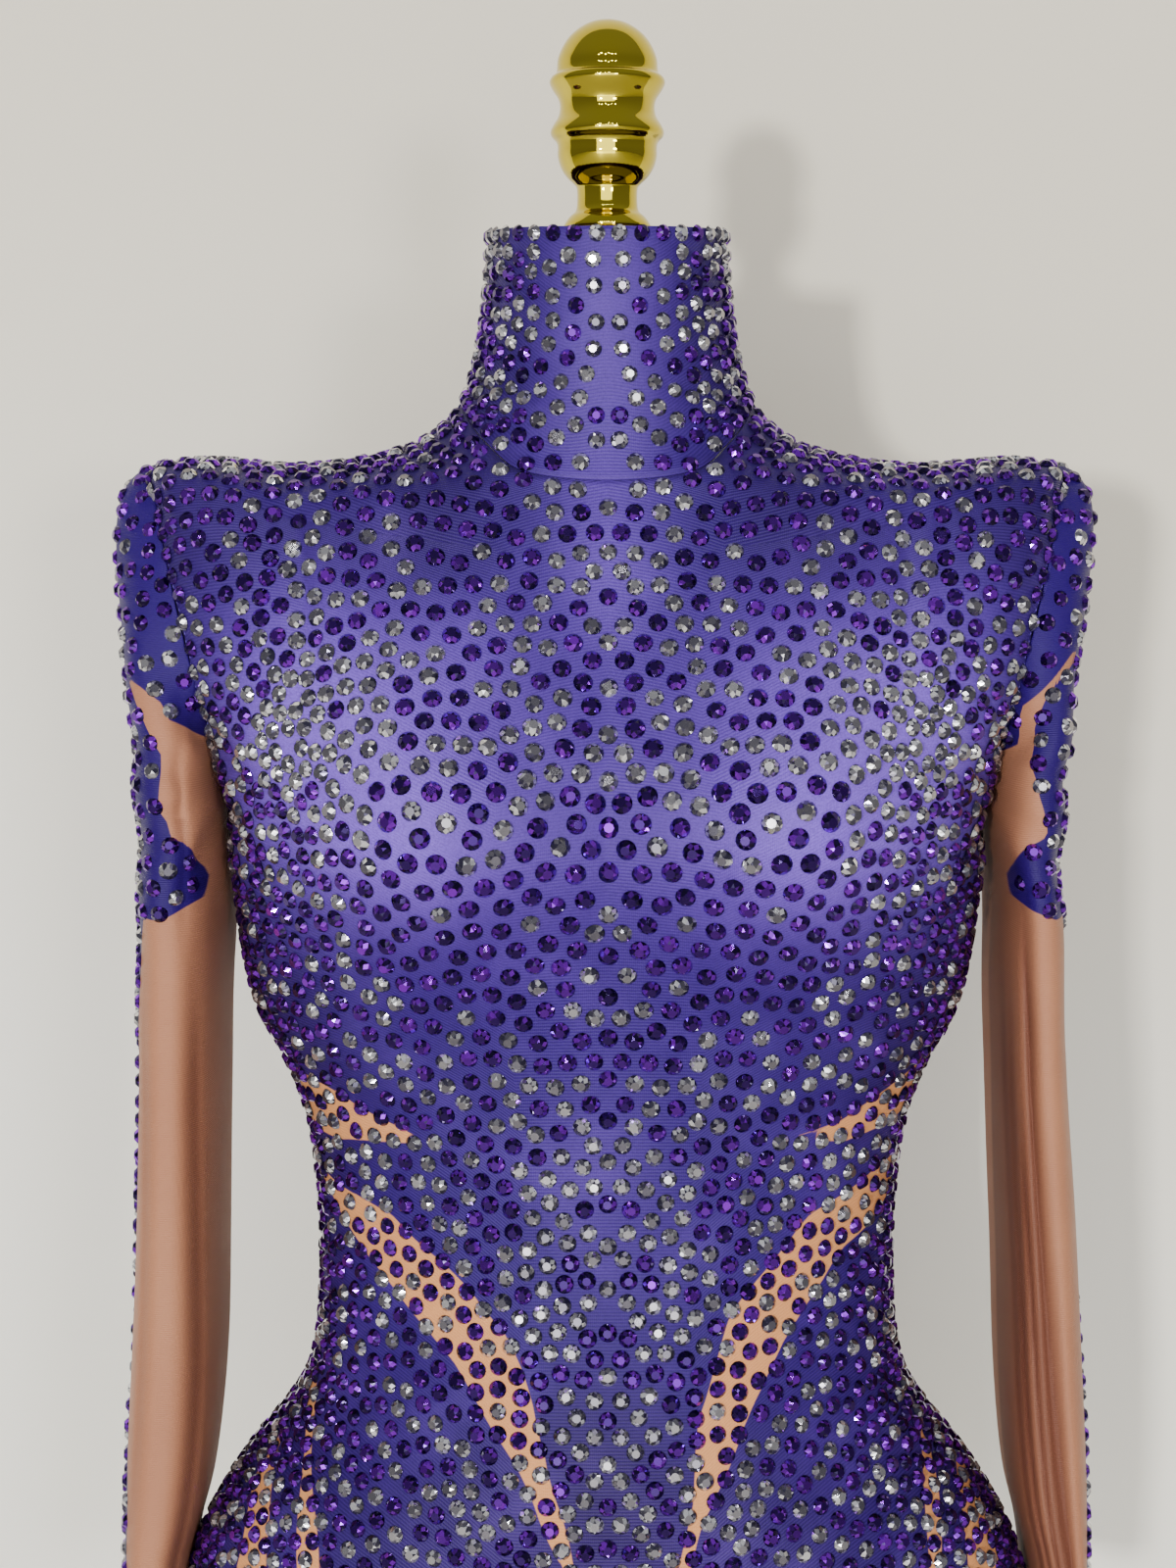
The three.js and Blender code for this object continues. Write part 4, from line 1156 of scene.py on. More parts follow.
# %% Stone meshes
def set_stones(name, spots, normals, sizes, seed):
    """One mesh of stones: width times the stone's own points in the cloth's plane, plus height times the
    tipped normal. facet is the painted brightness of reflections: by kind of facet, by facet and by stone,
    with painted glints on a few facets."""
    rng = np.random.default_rng(seed)
    count = len(spots)
    tilt = rng.normal(0, 0.045, (count, 3))
    up = normals + tilt
    up /= np.linalg.norm(up, axis=1, keepdims=True)
    aside = np.cross(up, [0.0, 0.0, 1.0])
    weak = np.linalg.norm(aside, axis=1) < 0.1
    aside[weak] = np.cross(up[weak], [1.0, 0.0, 0.0])
    aside /= np.linalg.norm(aside, axis=1, keepdims=True)
    ahead = np.cross(up, aside)
    angle = rng.uniform(0, 2 * np.pi, count)[:, None]
    u = aside * np.cos(angle) + ahead * np.sin(angle)
    v = np.cross(up, u)
    radius = (sizes / 2 * rng.uniform(0.97, 1.03, count))[:, None, None]
    tall = (sizes * rng.uniform(0.33, 0.37, count))[:, None, None]
    points = (
        spots[:, None]
        + radius * (STONE[None, :, :1] * u[:, None] + STONE[None, :, 1:2] * v[:, None])
        + tall * STONE[None, :, 2:] * up[:, None]
    )
    corners = np.concatenate(STONE_FACES)
    loops = (corners[None] + len(STONE) * np.arange(count)[:, None]).ravel()
    sizes_of_faces = np.tile([len(f) for f in STONE_FACES], count)
    thing = mesh_from(name, points.reshape(-1, 3) / 1000, loops, sizes_of_faces, flat=True)
    facet = thing.data.attributes.new("facet", "FLOAT", "FACE")
    per_stone = rng.uniform(0, 1, count)[:, None]
    # table, triangles, kites, facets at the rim, underside
    kind = np.repeat([0.50, 0.40, 0.56, 0.38, 0.0], [1, 8, 8, 16, 1])
    per_face = rng.uniform(-0.5, 0.5, (count, len(STONE_FACES)))
    bright = kind + 0.85 * per_face + 0.22 * (per_stone - 0.5)
    bright[:, 0] = 0.34 + 0.30 * per_stone[:, 0]
    # painted glints: about one facet in thirty is set brighter than the ramp's lightest colour
    bright[rng.uniform(0, 1, bright.shape) < 0.035] = 1.2
    facet.data.foreach_set("value", bright.astype(np.float32).ravel())
    ride(thing, None)
    return thing


def dress(name, spots, normals, chance, seed):
    """Splits the places by colour and makes one mesh of each."""
    violet = chance < violet_share(*seen(spots))
    sizes = stone_size(*seen(spots))
    for word, choice, extra in (("violet", violet, 1), ("clear", ~violet, 2)):
        chosen = spots[choice], normals[choice], sizes[choice]
        set_stones(f"stones_{word}_{name}", *chosen, seed + extra)


# %% [markdown]
# ## Keeping clear of the edges
# No stone sits on a seam or a folded edge. For each panel a small function says how far, in mm,
# a place is from everything that it has to keep clear of. Front, collar and back are filled on
# one half only and mirrored. A column of stones down the front and a row round the collar's rim
# are set before the rest.

# %% Stones in front
SEAM_GAP, CENTRE_GAP = 4.2, 5.2
END = 1e9  # past the last row or column, which at() reads as the last one


def from_grid(face, spot, r, c, closed=False):
    """Distance from each place to the grid's own point at row r and column c."""
    r, c = np.broadcast_arrays(np.asarray(r, float), np.asarray(c, float))
    return np.linalg.norm(spot - at(face, r, c, closed), axis=1)


def off_grid(face, r, c):
    """Whether a row or column lies outside the grid."""
    rows, cols = face.shape[:2]
    return (r < 0) | (r > rows - 1) | (c < 0) | (c > cols - 1)


rows, cols, _ = front_face.shape
middle = cols // 2
left_side = front_face[:, middle:]
levels = np.arange(405, 862, 17.5)
centre_rows = np.interp(levels, front_face[:, middle, 2], np.arange(rows))


def inside_front(spot, r, c):
    """Clear of the middle line, the side seam, the armhole, the neck seam and the hem."""
    edge = from_grid(front_face, spot, r, END)
    neck = from_grid(front_face, spot, END, c + middle)
    hem_line = from_grid(front_face, spot, 0, c + middle)
    clear = np.minimum(np.minimum(edge, neck), hem_line) - SEAM_GAP
    return np.where(off_grid(left_side, r, c), -1, np.minimum(spot[:, 0] - CENTRE_GAP, clear))


centre_line = (centre_rows, np.zeros(len(centre_rows)))
r, c, fixed = scatter(left_side, 11, inside_front, start=centre_line)
chance = np.random.default_rng(12).uniform(0, 1, len(r))
mirror = np.arange(len(r)) >= fixed
rows_of = np.concatenate([r, r[mirror]])
cols_of = np.concatenate([middle + c, middle - c[mirror]])
chance = np.concatenate([chance, chance[mirror]])
places, ways = line_on(front_face, rows_of, cols_of)
dress("front", places, ways, chance, 100)
print("stones in front:", len(places), "at", round(time.time() - START, 1), "s")

# %% Stones on the collar
rows_c, cols_c, _ = collar_face.shape
collar_mid = cols_c // 2
half_collar = collar_face[:, collar_mid:]
RIM_STEP = 9.2
last_col = half_collar.shape[1] - 1
rim_spots = np.arange(4.5, 140, RIM_STEP)
rim_cols = np.interp(rim_spots, lengths_along(half_collar[-1]), np.arange(last_col + 1))
rim_rows = np.full(len(rim_cols), rows_c - 2.2)


def inside_collar(spot, r, c):
    """Clear of the neck seam, the rim, the opening behind and the middle in front."""
    seam = from_grid(half_collar, spot, 0, c) - 3.6
    rim = from_grid(half_collar, spot, END, c) - 3.9
    opening = (last_col - c) * 1.2 - 5
    clear = np.minimum(np.minimum(seam, rim), np.minimum(opening, spot[:, 0] - 4.6))
    return np.where((r < 0) | (r > rows_c - 1) | (c < 0), -1, clear)


r, c, _ = scatter(half_collar, 21, inside_collar, start=(rim_rows, rim_cols), tries=9000)
chance = np.random.default_rng(22).uniform(0, 1, len(r))
rows_of, cols_of = np.concatenate([r, r]), np.concatenate([collar_mid + c, collar_mid - c])
places, ways = line_on(collar_face, rows_of, cols_of)
dress("collar", places, ways, np.concatenate([chance, chance]), 200)
print("stones on the collar:", len(places))

# %% Stones on the back
left_back = back_faces["left"]


def inside_back(spot, r, c):
    """Clear of the zip and of all four edges."""
    beside = np.minimum(from_grid(left_back, spot, r, END), from_grid(left_back, spot, r, 0))
    ends = np.minimum(from_grid(left_back, spot, END, c), from_grid(left_back, spot, 0, c))
    clear = np.minimum(np.minimum(beside, ends) - SEAM_GAP, np.abs(spot[:, 0]) - 6.5)
    return np.where(off_grid(left_back, r, c), -1, clear)


r, c, _ = scatter(left_back, 31, inside_back, tries=20000)
one = at(left_back, r, c)
side_col = 0 if left_back[4, 0, 0] > left_back[4, -1, 0] else END
from_side = from_grid(left_back, one, r, side_col)
from_neck = from_grid(left_back, one, END, c)
# the stones thin out 34 to 74 mm away from the side, and sooner below the neck
thin = np.random.default_rng(33).uniform(34, 74, len(r)) > np.minimum(from_side, 1.6 * from_neck)
r, c = r[thin], c[thin]
chance = np.random.default_rng(32).uniform(0, 1, len(r))
one, ways = line_on(left_back, r, c)
flip = np.array([-1, 1, 1])
places = np.concatenate([one, one * flip])
ways = np.concatenate([ways, ways * flip])
dress("back", places, ways, np.concatenate([chance, chance]), 300)
print("stones on the back:", len(places), "at", round(time.time() - START, 1), "s")

# %% Stones on the sleeves
for side, word in ((1, "left"), (-1, "right")):
    face, nude = sleeve_faces[word]

    def inside_sleeve(spot, r, c):
        """Inside the violet print, and clear of the cuff and the armhole."""
        print_edge = at(nude[..., None], r, c, True)[:, 0] - 2.6
        cuff = spot[:, 2] - CUFF - 5
        seam = from_grid(face, spot, END, c, True) - 4.6
        clear = np.minimum(np.minimum(print_edge, cuff), seam)
        return np.where((r < 0) | (r > len(face) - 1), -1, clear)

    r, c, _ = scatter(face, 41 + side, inside_sleeve, closed=True, tries=16000)
    chance = np.random.default_rng(44 + side).uniform(0, 1, len(r))
    places, ways = line_on(face, r, c, True)
    dress("sleeve_" + word, places, ways, chance, 400 + 10 * side)
    print("stones on the", word, "sleeve:", len(places))
print("all stones set at", round(time.time() - START, 1), "s")

# %% [markdown]
# ## The dress form and its stand
# The form is the same body without pads or cloth, closed over its arm ends and rolled under at
# the bottom. The cap, the finial, the pole and the base are turned on a lathe, so each is a
# profile of radius and height carried round an axis.

# %% Turned pieces
def turned(name, profile, around=96, middle=(0.0, 0.0), finer=1):
    """A closed round piece from rows of (radius, height) that start and end on the axis."""
    profile = np.array(profile, float)
    if finer > 1:
        profile = rounded(profile, finer)
    radius, height = profile[1:-1, 0, None], profile[1:-1, 1, None]
    turn = (2 * np.pi * np.arange(around) / around)[None]
    x, y = middle
    rings = np.stack([radius * np.cos(turn) + x, radius * np.sin(turn) + y, height + 0 * turn], -1)
    return capped_tube(name, rings, (x, y, profile[0, 1]), (x, y, profile[-1, 1]))


def rounded(profile, finer):
    """More rows on a smooth curve through the profile, by the same cubic as the body's table."""
    length = lengths_along(profile)
    table = np.column_stack([length, profile])
    s = np.interp(np.arange((len(profile) - 1) * finer + 1) / finer, np.arange(len(profile)), length)
    made = np.column_stack([column(table, 1, s), column(table, 2, s)])
    made[:, 0] = np.maximum(made[:, 0], 0)
    return made


NECK_MIDDLE = (0.0, -7.0)
# radius and height above its foot
FINIAL = [
    (0, 0), (17.4, 0), (18, 0.6), (18, 2), (15.8, 5.2), (13.4, 7.4), (12.7, 9.6), (12.7, 17),
    (13.8, 18.6), (16.6, 21.2), (19.2, 25), (20.6, 29.6), (20.7, 34.2), (21.4, 36), (23.2, 38),
    (23.6, 39.8), (22.8, 42), (20.4, 46), (19.7, 49.7), (20.3, 53), (22.8, 57), (24, 59.6),
    (23.4, 61.6), (21.3, 63.6), (20.6, 69.2), (18.4, 74.6), (14.9, 79.2), (9.6, 83), (4.5, 84.8),
    (0, 85.2),
]
finial = turned("finial_gold", [(r, 974.8 + z) for r, z in FINIAL], 96, NECK_MIDDLE, finer=5)
ride(finial, "gold_metal", "finial")
cap = turned(
    "neck_cap_gold",
    [(0, 966.3), (42.4, 966.3), (43, 966.9), (43, 967.9), (42.2, 968.6), (33, 970.8), (18.6, 974),
     (17.4, 974.5), (0, 974.5)],
    96, NECK_MIDDLE,
)
ride(cap, "gold_metal", "neck_cap")

# %% Stand
base = turned(
    "stand_base_gold",
    [(0, 0), (146.5, 0), (148.6, 0.5), (150, 2), (150, 6.6), (149, 8.4), (147, 9.2), (128, 11.4), (110, 14),
     (66, 16.6), (46, 18.2), (34, 20.4), (28, 23.4), (24, 27), (22.2, 31), (22, 36), (21.4, 37.4),
     (20, 38), (0, 38)],
    128,
)
ride(base, "gold_metal", "stand_base")
pole = turned(
    "stand_pole_gold",
    [(0, 38.3), (13.6, 38.3), (14, 38.7), (14, 264.9), (13.6, 265.4), (0, 265.4)],
    64,
)
ride(pole, "gold_metal", "stand_pole")
socket = turned(
    "pole_socket_gold",
    [(0, 265.7), (17.2, 265.7), (18.5, 266.2), (19, 267.4), (19, 299.7), (0, 299.7)],
    64,
)
ride(socket, "gold_metal", "pole_socket")

# %% Form
FORM_FOOT, ROLL, FORM_TOP = 300, 12, 966
ROLL_TOP = FORM_FOOT + ROLL
INSIDE, ARM_END, ARM_ROUND = 3.2, 163, 14


def form_rings(rows=150, around=160):
    """The body 3.2 mm inside the cloth, its arm ends drawn in and its foot rolled under."""
    z = np.linspace(FORM_FOOT, ROLL_TOP, 9)[:-1]
    z = np.concatenate([z, np.linspace(ROLL_TOP, FORM_TOP, rows)])
    turn = np.arange(around) / around * 4
    quarter = np.floor(turn).astype(int)
    t = turn - quarter
    side = np.where((quarter == 0) | (quarter == 3), 1, -1)
    share = np.where(quarter % 2 == 1, 1 - t, t)[None]
    level = np.maximum(z, ROLL_TOP)[:, None]
    faces = [skin(side, f, share, level + 0 * share, padded=False) for f in (FRONT, BACK)]
    ring = np.where((quarter < 2)[None, :, None], faces[0], faces[1])
    out = outwards(ring, True)
    out[z <= ROLL_TOP, :, 2] = 0
    ring = ring - out * INSIDE
    end = ARM_END * (1 - 0.03 * smooth(780, 868, z))[:, None]
    over = np.abs(ring[..., 0]) - (end - ARM_ROUND)
    tucked = end - ARM_ROUND * np.exp(-np.maximum(over, 0) / ARM_ROUND)
    beside_arm = (over > 0) & (z > 690)[:, None]
    ring[..., 0] = np.where(beside_arm, np.sign(ring[..., 0]) * tucked, ring[..., 0])
    below = np.maximum(ROLL_TOP - z, 0) / ROLL
    rolled_in = ROLL * (1 - np.sqrt(np.maximum(1 - below**2, 0)))
    flat = np.linalg.norm(ring[..., :2], axis=-1, keepdims=True)
    ring[..., :2] *= 1 - rolled_in[:, None, None] / flat
    ring[z < ROLL_TOP, :, 2] = z[z < ROLL_TOP][:, None]
    ring[-1, :, 2] = FORM_TOP
    return ring


rings = form_rings()
form = capped_tube("form_torso_cover", rings, rings[0].mean(0), rings[-1].mean(0))
ride(form, "form_cover", "form_torso")
print("form made at", round(time.time() - START, 1), "s")

# %% [markdown]
# ## How the cloth is held
# The bodice and the collar are stretched, and the sleeves hang.

# %% [markdown]
# ## Materials
# Each finish is a small tree of nodes. The stretch knit has fine rows of stitches every 1.4 mm and the
# satin has finer ones every 0.9 mm, drawn on the UV map's real lengths. The print mixes the colours by the
# numbers stored on the cloth, and some of these numbers are painted highlight and painted shade as well as
# print. The helpers below each add one node, so that a finish reads as a short list of steps.

# %% Node helpers
def material(name):
    """A new material with one principled shader: the material, its tree and the shader."""
    made = bpy.data.materials.new(name)
    made.use_nodes = True
    tree = made.node_tree
    tree.nodes.clear()
    out = tree.nodes.new("ShaderNodeOutputMaterial")
    shader = tree.nodes.new("ShaderNodeBsdfPrincipled")
    tree.links.new(shader.outputs["BSDF"], out.inputs["Surface"])
    return made, tree, shader


def put(shader, **values):
    """Sets plain inputs of a shader by their names, with _ for a space."""
    for name, value in values.items():
        shader.inputs[name.replace("_", " ")].default_value = value


def feed(tree, value, shader, name):
    """Links a value that other nodes work out to an input of the shader."""
    tree.links.new(value, shader.inputs[name])


def fact(tree, name):
    """A number that is stored on the mesh."""
    node = tree.nodes.new("ShaderNodeAttribute")
    node.attribute_name = name
    return node.outputs["Fac"]


def sums(tree, kind, *values):
    """Arithmetic on numbers or on what other nodes give."""
    node = tree.nodes.new("ShaderNodeMath")
    node.operation = kind
    for k, value in enumerate(values):
        if isinstance(value, (int, float)):
            node.inputs[k].default_value = value
        else:
            tree.links.new(value, node.inputs[k])
    return node.outputs[0]


def step(tree, value, low, high):
    """0 to 1 as value goes from low to high, smoothly."""
    node = tree.nodes.new("ShaderNodeMapRange")
    node.interpolation_type = "SMOOTHSTEP"
    tree.links.new(value, node.inputs["Value"])
    node.inputs["From Min"].default_value = low
    node.inputs["From Max"].default_value = high
    return node.outputs["Result"]


def mix(tree, share, first, second):
    """The first colour where share is 0, the second where it is 1."""
    node = tree.nodes.new("ShaderNodeMix")
    node.data_type = "RGBA"
    tree.links.new(share, node.inputs["Factor"])
    for socket, value in ((node.inputs[6], first), (node.inputs[7], second)):
        if isinstance(value, tuple):
            socket.default_value = (*value, 1)
        else:
            tree.links.new(value, socket)
    return node.outputs[2]


def noise(tree, vector, scale, detail=2.0):
    """A cloudy pattern from 0 to 1, with scale clouds to the metre."""
    node = tree.nodes.new("ShaderNodeTexNoise")
    node.inputs["Scale"].default_value = scale
    node.inputs["Detail"].default_value = detail
    tree.links.new(vector, node.inputs["Vector"])
    return node.outputs["Fac"]


def bump(tree, shader, height, distance, strength):
    """Relief that is only shaded: height times distance, in metres."""
    node = tree.nodes.new("ShaderNodeBump")
    node.inputs["Distance"].default_value = distance
    node.inputs["Strength"].default_value = strength
    tree.links.new(height, node.inputs["Height"])
    tree.links.new(node.outputs["Normal"], shader.inputs["Normal"])


def place(tree):
    """Where a point lies in metres, which is the same for every piece."""
    return tree.nodes.new("ShaderNodeTexCoord").outputs["Object"]


# %% Cloth
def knit_rows(tree, pitch):
    """Ribs across the cloth, one every pitch metres, broken up by the stitches along them."""
    uv = tree.nodes.new("ShaderNodeUVMap")
    uv.uv_map = "cloth"
    split = tree.nodes.new("ShaderNodeSeparateXYZ")
    tree.links.new(uv.outputs["UV"], split.inputs[0])
    turns = sums(tree, "MULTIPLY", split.outputs[1], 2 * math.pi / pitch)
    rows = sums(tree, "SINE", turns)
    turns_across = sums(tree, "MULTIPLY", split.outputs[0], 2 * math.pi / (pitch * 0.55))
    stitch = sums(tree, "SINE", turns_across)
    return sums(tree, "ADD", rows, sums(tree, "MULTIPLY", stitch, 0.35))


def printed_cloth(name, plain, glow_colour, deep, nude):
    """Knit printed in four colours: the plain one, a glow and a deep tone over it by the stored numbers,
    soft patches and grain, and crisp nude bands on top. The glow is partly painted highlight and the deep
    tone partly painted shade. Random lighter patches are painted sheen, and the lighter tops of the knit's
    ribs are a painted highlight."""
    made, tree, shader = material(name)
    here = place(tree)
    patch = noise(tree, here, 9.0, 3.0)
    # the lilac and indigo numbers are partly print and partly painted highlight and painted shade
    base = mix(tree, fact(tree, "lilac"), plain, glow_colour)
    base = mix(tree, sums(tree, "MULTIPLY", fact(tree, "indigo"), 0.9), base, deep)
    base = mix(tree, sums(tree, "MULTIPLY", patch, 0.16), base, deep)
    # painted sheen: lighter lilac patches at random over the cloth
    light = step(tree, noise(tree, here, 26.0, 2.0), 0.42, 0.85)
    base = mix(tree, sums(tree, "MULTIPLY", light, 0.15), base, glow_colour)
    grain = step(tree, noise(tree, here, 1300.0, 2.0), 0.3, 0.75)
    base = mix(tree, sums(tree, "MULTIPLY", grain, 0.28), base, deep)
    rows = knit_rows(tree, 0.0014)
    # painted highlight: the tops of the knit's ribs are mixed towards the lilac
    shade = sums(tree, "MULTIPLY", step(tree, rows, -1.3, 1.3), 0.07)
    base = mix(tree, shade, base, glow_colour)
    inside = sums(tree, "SUBTRACT", 1.0, step(tree, fact(tree, "nude"), -0.35, 0.35))
    base = mix(tree, inside, base, nude)
    feed(tree, base, shader, "Base Color")
    rough = sums(tree, "ADD", 0.46, sums(tree, "MULTIPLY", patch, 0.14))
    feed(tree, rough, shader, "Roughness")
    put(shader, Specular_IOR_Level=0.22, Sheen_Weight=0.02)
    put(shader, Sheen_Roughness=0.4, Sheen_Tint=(0.6, 0.55, 1.0, 1))
    bump(tree, shader, rows, 0.00010, 0.6)
    return made


# the lilac and indigo tones serve the print and also the painted highlight, sheen and shade
VIOLET = (0.0185, 0.0011, 0.130)
LILAC_TONE = (0.235, 0.115, 0.72)
INDIGO_TONE = (0.0056, 0.0005, 0.026)
BAND_TONE = (0.66, 0.285, 0.110)
suit_cloth = printed_cloth("printed_knit", VIOLET, LILAC_TONE, INDIGO_TONE, BAND_TONE)


SATIN_LIGHT, SATIN_DARK = (0.455, 0.205, 0.108), (0.34, 0.14, 0.08)
SATIN_FOLD_SHADE = (0.12, 0.038, 0.024)


def satin_sleeve(name):
    """Nude satin with violet print: the nude number is above 0 on the violet. The fold and indigo numbers
    add painted shade.
    """
    made, tree, shader = material(name)
    here = place(tree)
    patch = noise(tree, here, 14.0, 3.0)
    # painted shade: the violet print turns indigo by the indigo number
    violet = mix(tree, fact(tree, "indigo"), VIOLET, INDIGO_TONE)
    satin = mix(tree, patch, SATIN_LIGHT, SATIN_DARK)
    # painted shade: the satin darkens towards a deep brown where the fold number is high
    satin = mix(tree, sums(tree, "MULTIPLY", fact(tree, "fold"), 0.9), satin, SATIN_FOLD_SHADE)
    base = mix(tree, step(tree, fact(tree, "nude"), -0.3, 0.3), satin, violet)
    rows = knit_rows(tree, 0.0009)
    feed(tree, base, shader, "Base Color")
    rough = sums(tree, "ADD", 0.40, sums(tree, "MULTIPLY", patch, 0.16))
    feed(tree, rough, shader, "Roughness")
    put(shader, Specular_IOR_Level=0.22)
    grain = sums(tree, "MULTIPLY", noise(tree, here, 1100.0, 2.0), 2.0)
    bump(tree, shader, sums(tree, "ADD", rows, grain), 0.00008, 0.6)
    return made


sleeve_cloth = satin_sleeve("satin_sleeve")

# %% [markdown]
# ## Stones, gold and the form's cover
# A foil-backed stone acts like a small faceted mirror: light that enters bounces off the foil and
# leaves by another facet, so neighbouring facets look quite different. Real refraction would be
# slow for thousands of stones, so each facet's stored number picks its brightness instead. The
# finial is lacquered brass, smooth enough to mirror the room.

# %% Stones and metals
def stone_finish(name, dark, middle, light):
    """A nearly metallic stone whose colour runs from dark to light by each facet's number."""
    made, tree, shader = material(name)
    ramp = tree.nodes.new("ShaderNodeValToRGB")
    low, high = ramp.color_ramp.elements
    low.position, low.color = 0.18, (*dark, 1)
    high.position, high.color = 0.86, (*light, 1)
    ramp.color_ramp.elements.new(0.52).color = (*middle, 1)
    tree.links.new(fact(tree, "facet"), ramp.inputs["Fac"])
    feed(tree, ramp.outputs["Color"], shader, "Base Color")
    put(shader, Metallic=0.8, Roughness=0.10, Specular_IOR_Level=0.8)
    put(shader, Coat_Weight=0.08, Coat_Roughness=0.03)
    return made


violet_stone = stone_finish(
    "violet_stone", (0.006, 0.0002, 0.03), (0.030, 0.0005, 0.120), (0.23, 0.004, 0.62)
)
clear_stone = stone_finish(
    "clear_stone", (0.05, 0.045, 0.085), (0.205, 0.195, 0.22), (0.84, 0.84, 0.86)
)


def gold_finish(name, colour, rough):
    """Polished metal with faint clouds in its tone and a hardly visible unevenness."""
    made, tree, shader = material(name)
    here = place(tree)
    cloud = noise(tree, here, 38.0, 3.0)
    tone = mix(tree, sums(tree, "MULTIPLY", cloud, 0.35), colour, tuple(0.8 * v for v in colour))
    feed(tree, tone, shader, "Base Color")
    put(shader, Metallic=1.0)
    feed(tree, sums(tree, "ADD", rough, sums(tree, "MULTIPLY", cloud, 0.05)), shader, "Roughness")
    bump(tree, shader, noise(tree, here, 90.0, 2.0), 0.00004, 0.4)
    return made


gold = gold_finish("polished_gold", (0.58, 0.465, 0.04), 0.03)
zip_metal = gold_finish("lacquered_zip", (0.20, 0.17, 0.42), 0.25)


def cover_finish(name):
    """Off-white cotton jersey, matt, with a fine weave."""
    made, tree, shader = material(name)
    here = place(tree)
    weave = noise(tree, here, 900.0, 2.0)
    cloud = noise(tree, here, 12.0, 3.0)
    tone = mix(tree, cloud, (0.78, 0.75, 0.68), (0.70, 0.66, 0.58))
    feed(tree, tone, shader, "Base Color")
    put(shader, Roughness=0.85, Sheen_Weight=0.2)
    bump(tree, shader, weave, 0.0002, 0.5)
    return made


cover = cover_finish("form_jersey")


def thread_finish(name):
    """Violet sewing thread, lighter and darker along its twist."""
    made, tree, shader = material(name)
    twist = noise(tree, place(tree), 1500.0, 1.0)
    tone = mix(tree, twist, (0.05, 0.02, 0.26), (0.16, 0.10, 0.50))
    feed(tree, tone, shader, "Base Color")
    put(shader, Roughness=0.5)
    return made


thread = thread_finish("thread")


# %% [markdown]
# ## Who wears what
# The pieces were named for what they are, so the start or the end of a name tells the finish.
# The first line of the table that fits counts, and all that is left is suit cloth.

# %% Finishes
FINISHES = {
    "stones_violet": violet_stone,
    "stones_clear": clear_stone,
    "sleeve": sleeve_cloth,
    "form": cover,
    "stitches": thread,
    "_gold": gold,
}


def finish(thing, made):
    """Gives a piece one material."""
    thing.data.materials.clear()
    thing.data.materials.append(made)


for name, thing in MADE.items():
    fitting = [made for word, made in FINISHES.items() if name.startswith(word) or name.endswith(word)]
    finish(thing, fitting[0] if fitting else suit_cloth)
for node in ("zip_slider", "zip_pull"):
    finish(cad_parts[node], zip_metal)
print(len(MADE), "pieces have their finish")

# %% [markdown]
# ## Floor, wall and light
# The photograph was taken close to a pale wall. The finial's shadow lies level with the finial and
# to its right, so the main lamp is far away, nearly level and a little to the left. A fainter shadow
# on the other side asks for a weaker lamp on the right. A wide lamp low in front opens the shadows
# under the bust. Six small spots near the ceiling add little light, but they are the points that
# sparkle in the gold and in the stones. The wall is one sheet whose paint only shows from the
# front, so that the object can be seen from behind too.

# %% Stage
def slab(name, low, high):
    """A plain closed box from its lowest and highest corner."""
    lo, hi = np.array(low, float), np.array(high, float)
    pick = np.array([[i & 1, (i >> 1) & 1, (i >> 2) & 1] for i in range(8)])
    points = lo + pick * (hi - lo)
    faces = [(0, 2, 3, 1), (4, 5, 7, 6), (0, 1, 5, 4), (2, 6, 7, 3), (0, 4, 6, 2), (1, 3, 7, 5)]
    thing = mesh_from(name, points, np.ravel(faces), np.full(6, 4), flat=True)
    return thing


def plain_finish(name, colour, rough):
    """Paint with very faint clouds."""
    made, tree, shader = material(name)
    tone = mix(tree, noise(tree, place(tree), 2.0), colour, tuple(0.96 * v for v in colour))
    feed(tree, tone, shader, "Base Color")
    put(shader, Roughness=rough)
    return made


def wall_finish(name):
    """Warm white paint with painted shade: a little darker towards the ceiling and towards the right."""
    made, tree, shader = material(name)
    split = tree.nodes.new("ShaderNodeSeparateXYZ")
    tree.links.new(place(tree), split.inputs[0])
    height = sums(tree, "ADD", split.outputs[2], sums(tree, "MULTIPLY", split.outputs[0], 0.3))
    # painted shade: the wall darkens towards the ceiling and to the right
    tone = mix(tree, step(tree, height, 0.35, 1.15), (0.98, 0.96, 0.87), (0.81, 0.755, 0.62))
    feed(tree, tone, shader, "Base Color")
    put(shader, Roughness=0.7)
    return made


def one_sided(made):
    """The paint shows on the front of a sheet, and nothing shows on its back, so that the
    object can be seen from behind as well."""
    tree = made.node_tree
    shader = next(n for n in tree.nodes if n.type == "BSDF_PRINCIPLED")
    out = next(n for n in tree.nodes if n.type == "OUTPUT_MATERIAL")
    side = tree.nodes.new("ShaderNodeNewGeometry").outputs["Backfacing"]
    both = tree.nodes.new("ShaderNodeMixShader")
    tree.links.new(side, both.inputs[0])
    tree.links.new(shader.outputs[0], both.inputs[1])
    tree.links.new(tree.nodes.new("ShaderNodeBsdfTransparent").outputs[0], both.inputs[2])
    tree.links.new(both.outputs[0], out.inputs["Surface"])
    return made


floor = slab("floor", (-5, -5, -0.02), (5, 5, 0.0))
# a sheet 0.3 m behind the form's middle, whose front faces the camera
corners = np.array([(-4, 0.3, 0.001), (4, 0.3, 0.001), (4, 0.3, 3.2), (-4, 0.3, 3.2)])
wall = mesh_from("wall", corners, np.arange(4), np.array([4]), flat=True)
finish(floor, plain_finish("floor_paint", (0.66, 0.64, 0.60), 0.6))
finish(wall, one_sided(wall_finish("wall_paint")))


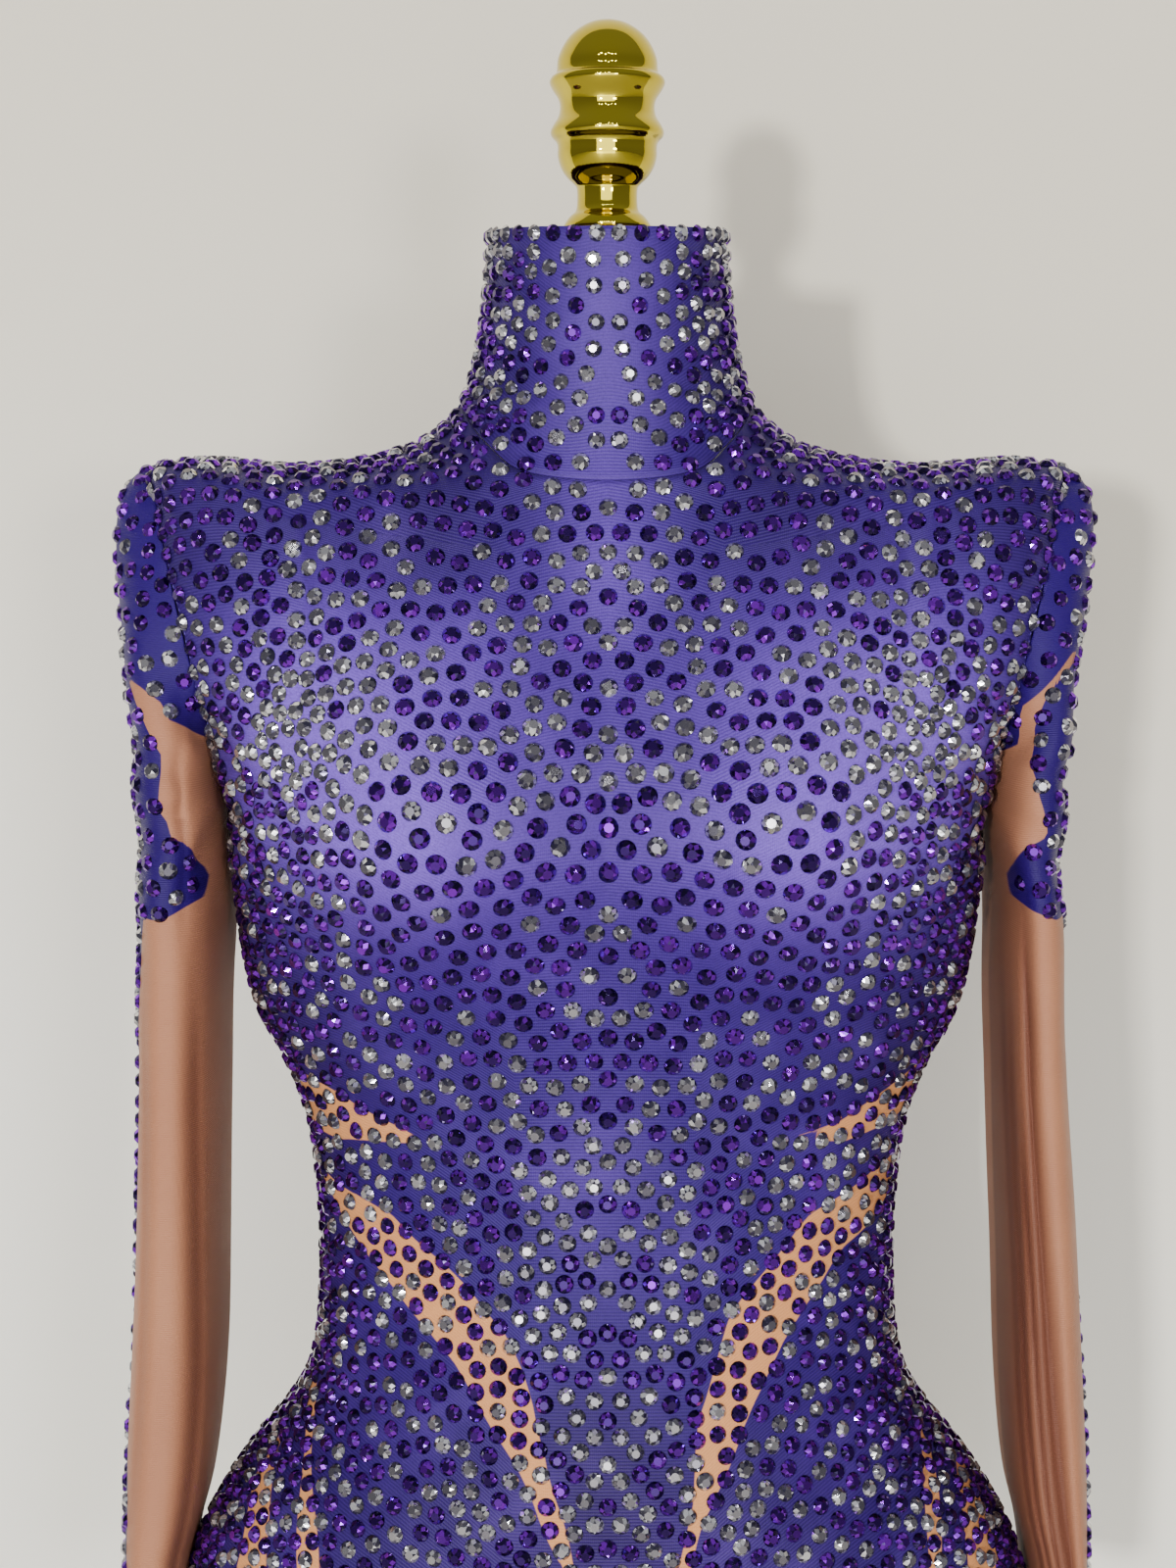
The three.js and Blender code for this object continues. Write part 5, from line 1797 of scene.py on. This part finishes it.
# %% Lamps
def lamp(name, place, aim, size, power, colour=(1, 1, 1)):
    """A square lamp of a size in metres and a power in watts, turned towards aim."""
    light = bpy.data.lights.new(name, "AREA")
    light.size = size
    light.energy = power
    light.color = colour
    thing = bpy.data.objects.new(name, light)
    thing.location = place
    way = np.array(aim) - np.array(place)
    flat = math.hypot(way[0], way[1])
    thing.rotation_euler = (math.atan2(flat, -way[2]), 0, math.atan2(way[1], way[0]) - math.pi / 2)
    bpy.context.collection.objects.link(thing)


lamp("key", (-1.60, -5.75, 1.03), (0, 0, 0.8), 0.30, 236, (1.0, 0.98, 0.94))
lamp("key_right", (1.75, -5.7, 1.05), (0, 0, 0.8), 0.7, 84, (1.0, 0.98, 0.95))
lamp("low_fill", (-0.2, -3.3, 0.5), (0, 0.2, 0.7), 2.6, 74, (0.99, 0.985, 1.0))
CEILING = 2.1
SPOTS = [(-0.9, 2.5), (-0.55, 2.2), (-0.2, 2.6), (0.1, 2.1), (0.45, 2.5), (0.8, 2.3)]  # x, how far off
for number, (across, away) in enumerate(SPOTS):
    lamp("spot_" + str(number), (across, -away, CEILING), (0, 0, 0.85), 0.05, 1.6)
print("lamps:", 3 + len(SPOTS))

# %% [markdown]
# ## The rest of the room
# Light also comes from the walls and the ceiling behind the camera. The world stands in for them:
# it is a little brighter and cooler above than below, and it is what the gold mirrors most.

# %% World
world = bpy.data.worlds.new("world")
bpy.context.scene.world = world
world.use_nodes = True
sky = world.node_tree
height = sky.nodes.new("ShaderNodeSeparateXYZ")
sky.links.new(sky.nodes.new("ShaderNodeTexCoord").outputs["Generated"], height.inputs[0])
room = mix(sky, step(sky, height.outputs[2], -0.1, 0.9), (0.42, 0.42, 0.43), (0.62, 0.64, 0.68))
sky.links.new(room, sky.nodes["Background"].inputs[0])
sky.nodes["Background"].inputs[1].default_value = 0.5

# %% Finish
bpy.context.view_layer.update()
total = sum(sum(len(p.vertices) - 2 for p in t.data.polygons) for t in MADE.values())
print("triangles:", total, "in", round(time.time() - START, 1), "s")
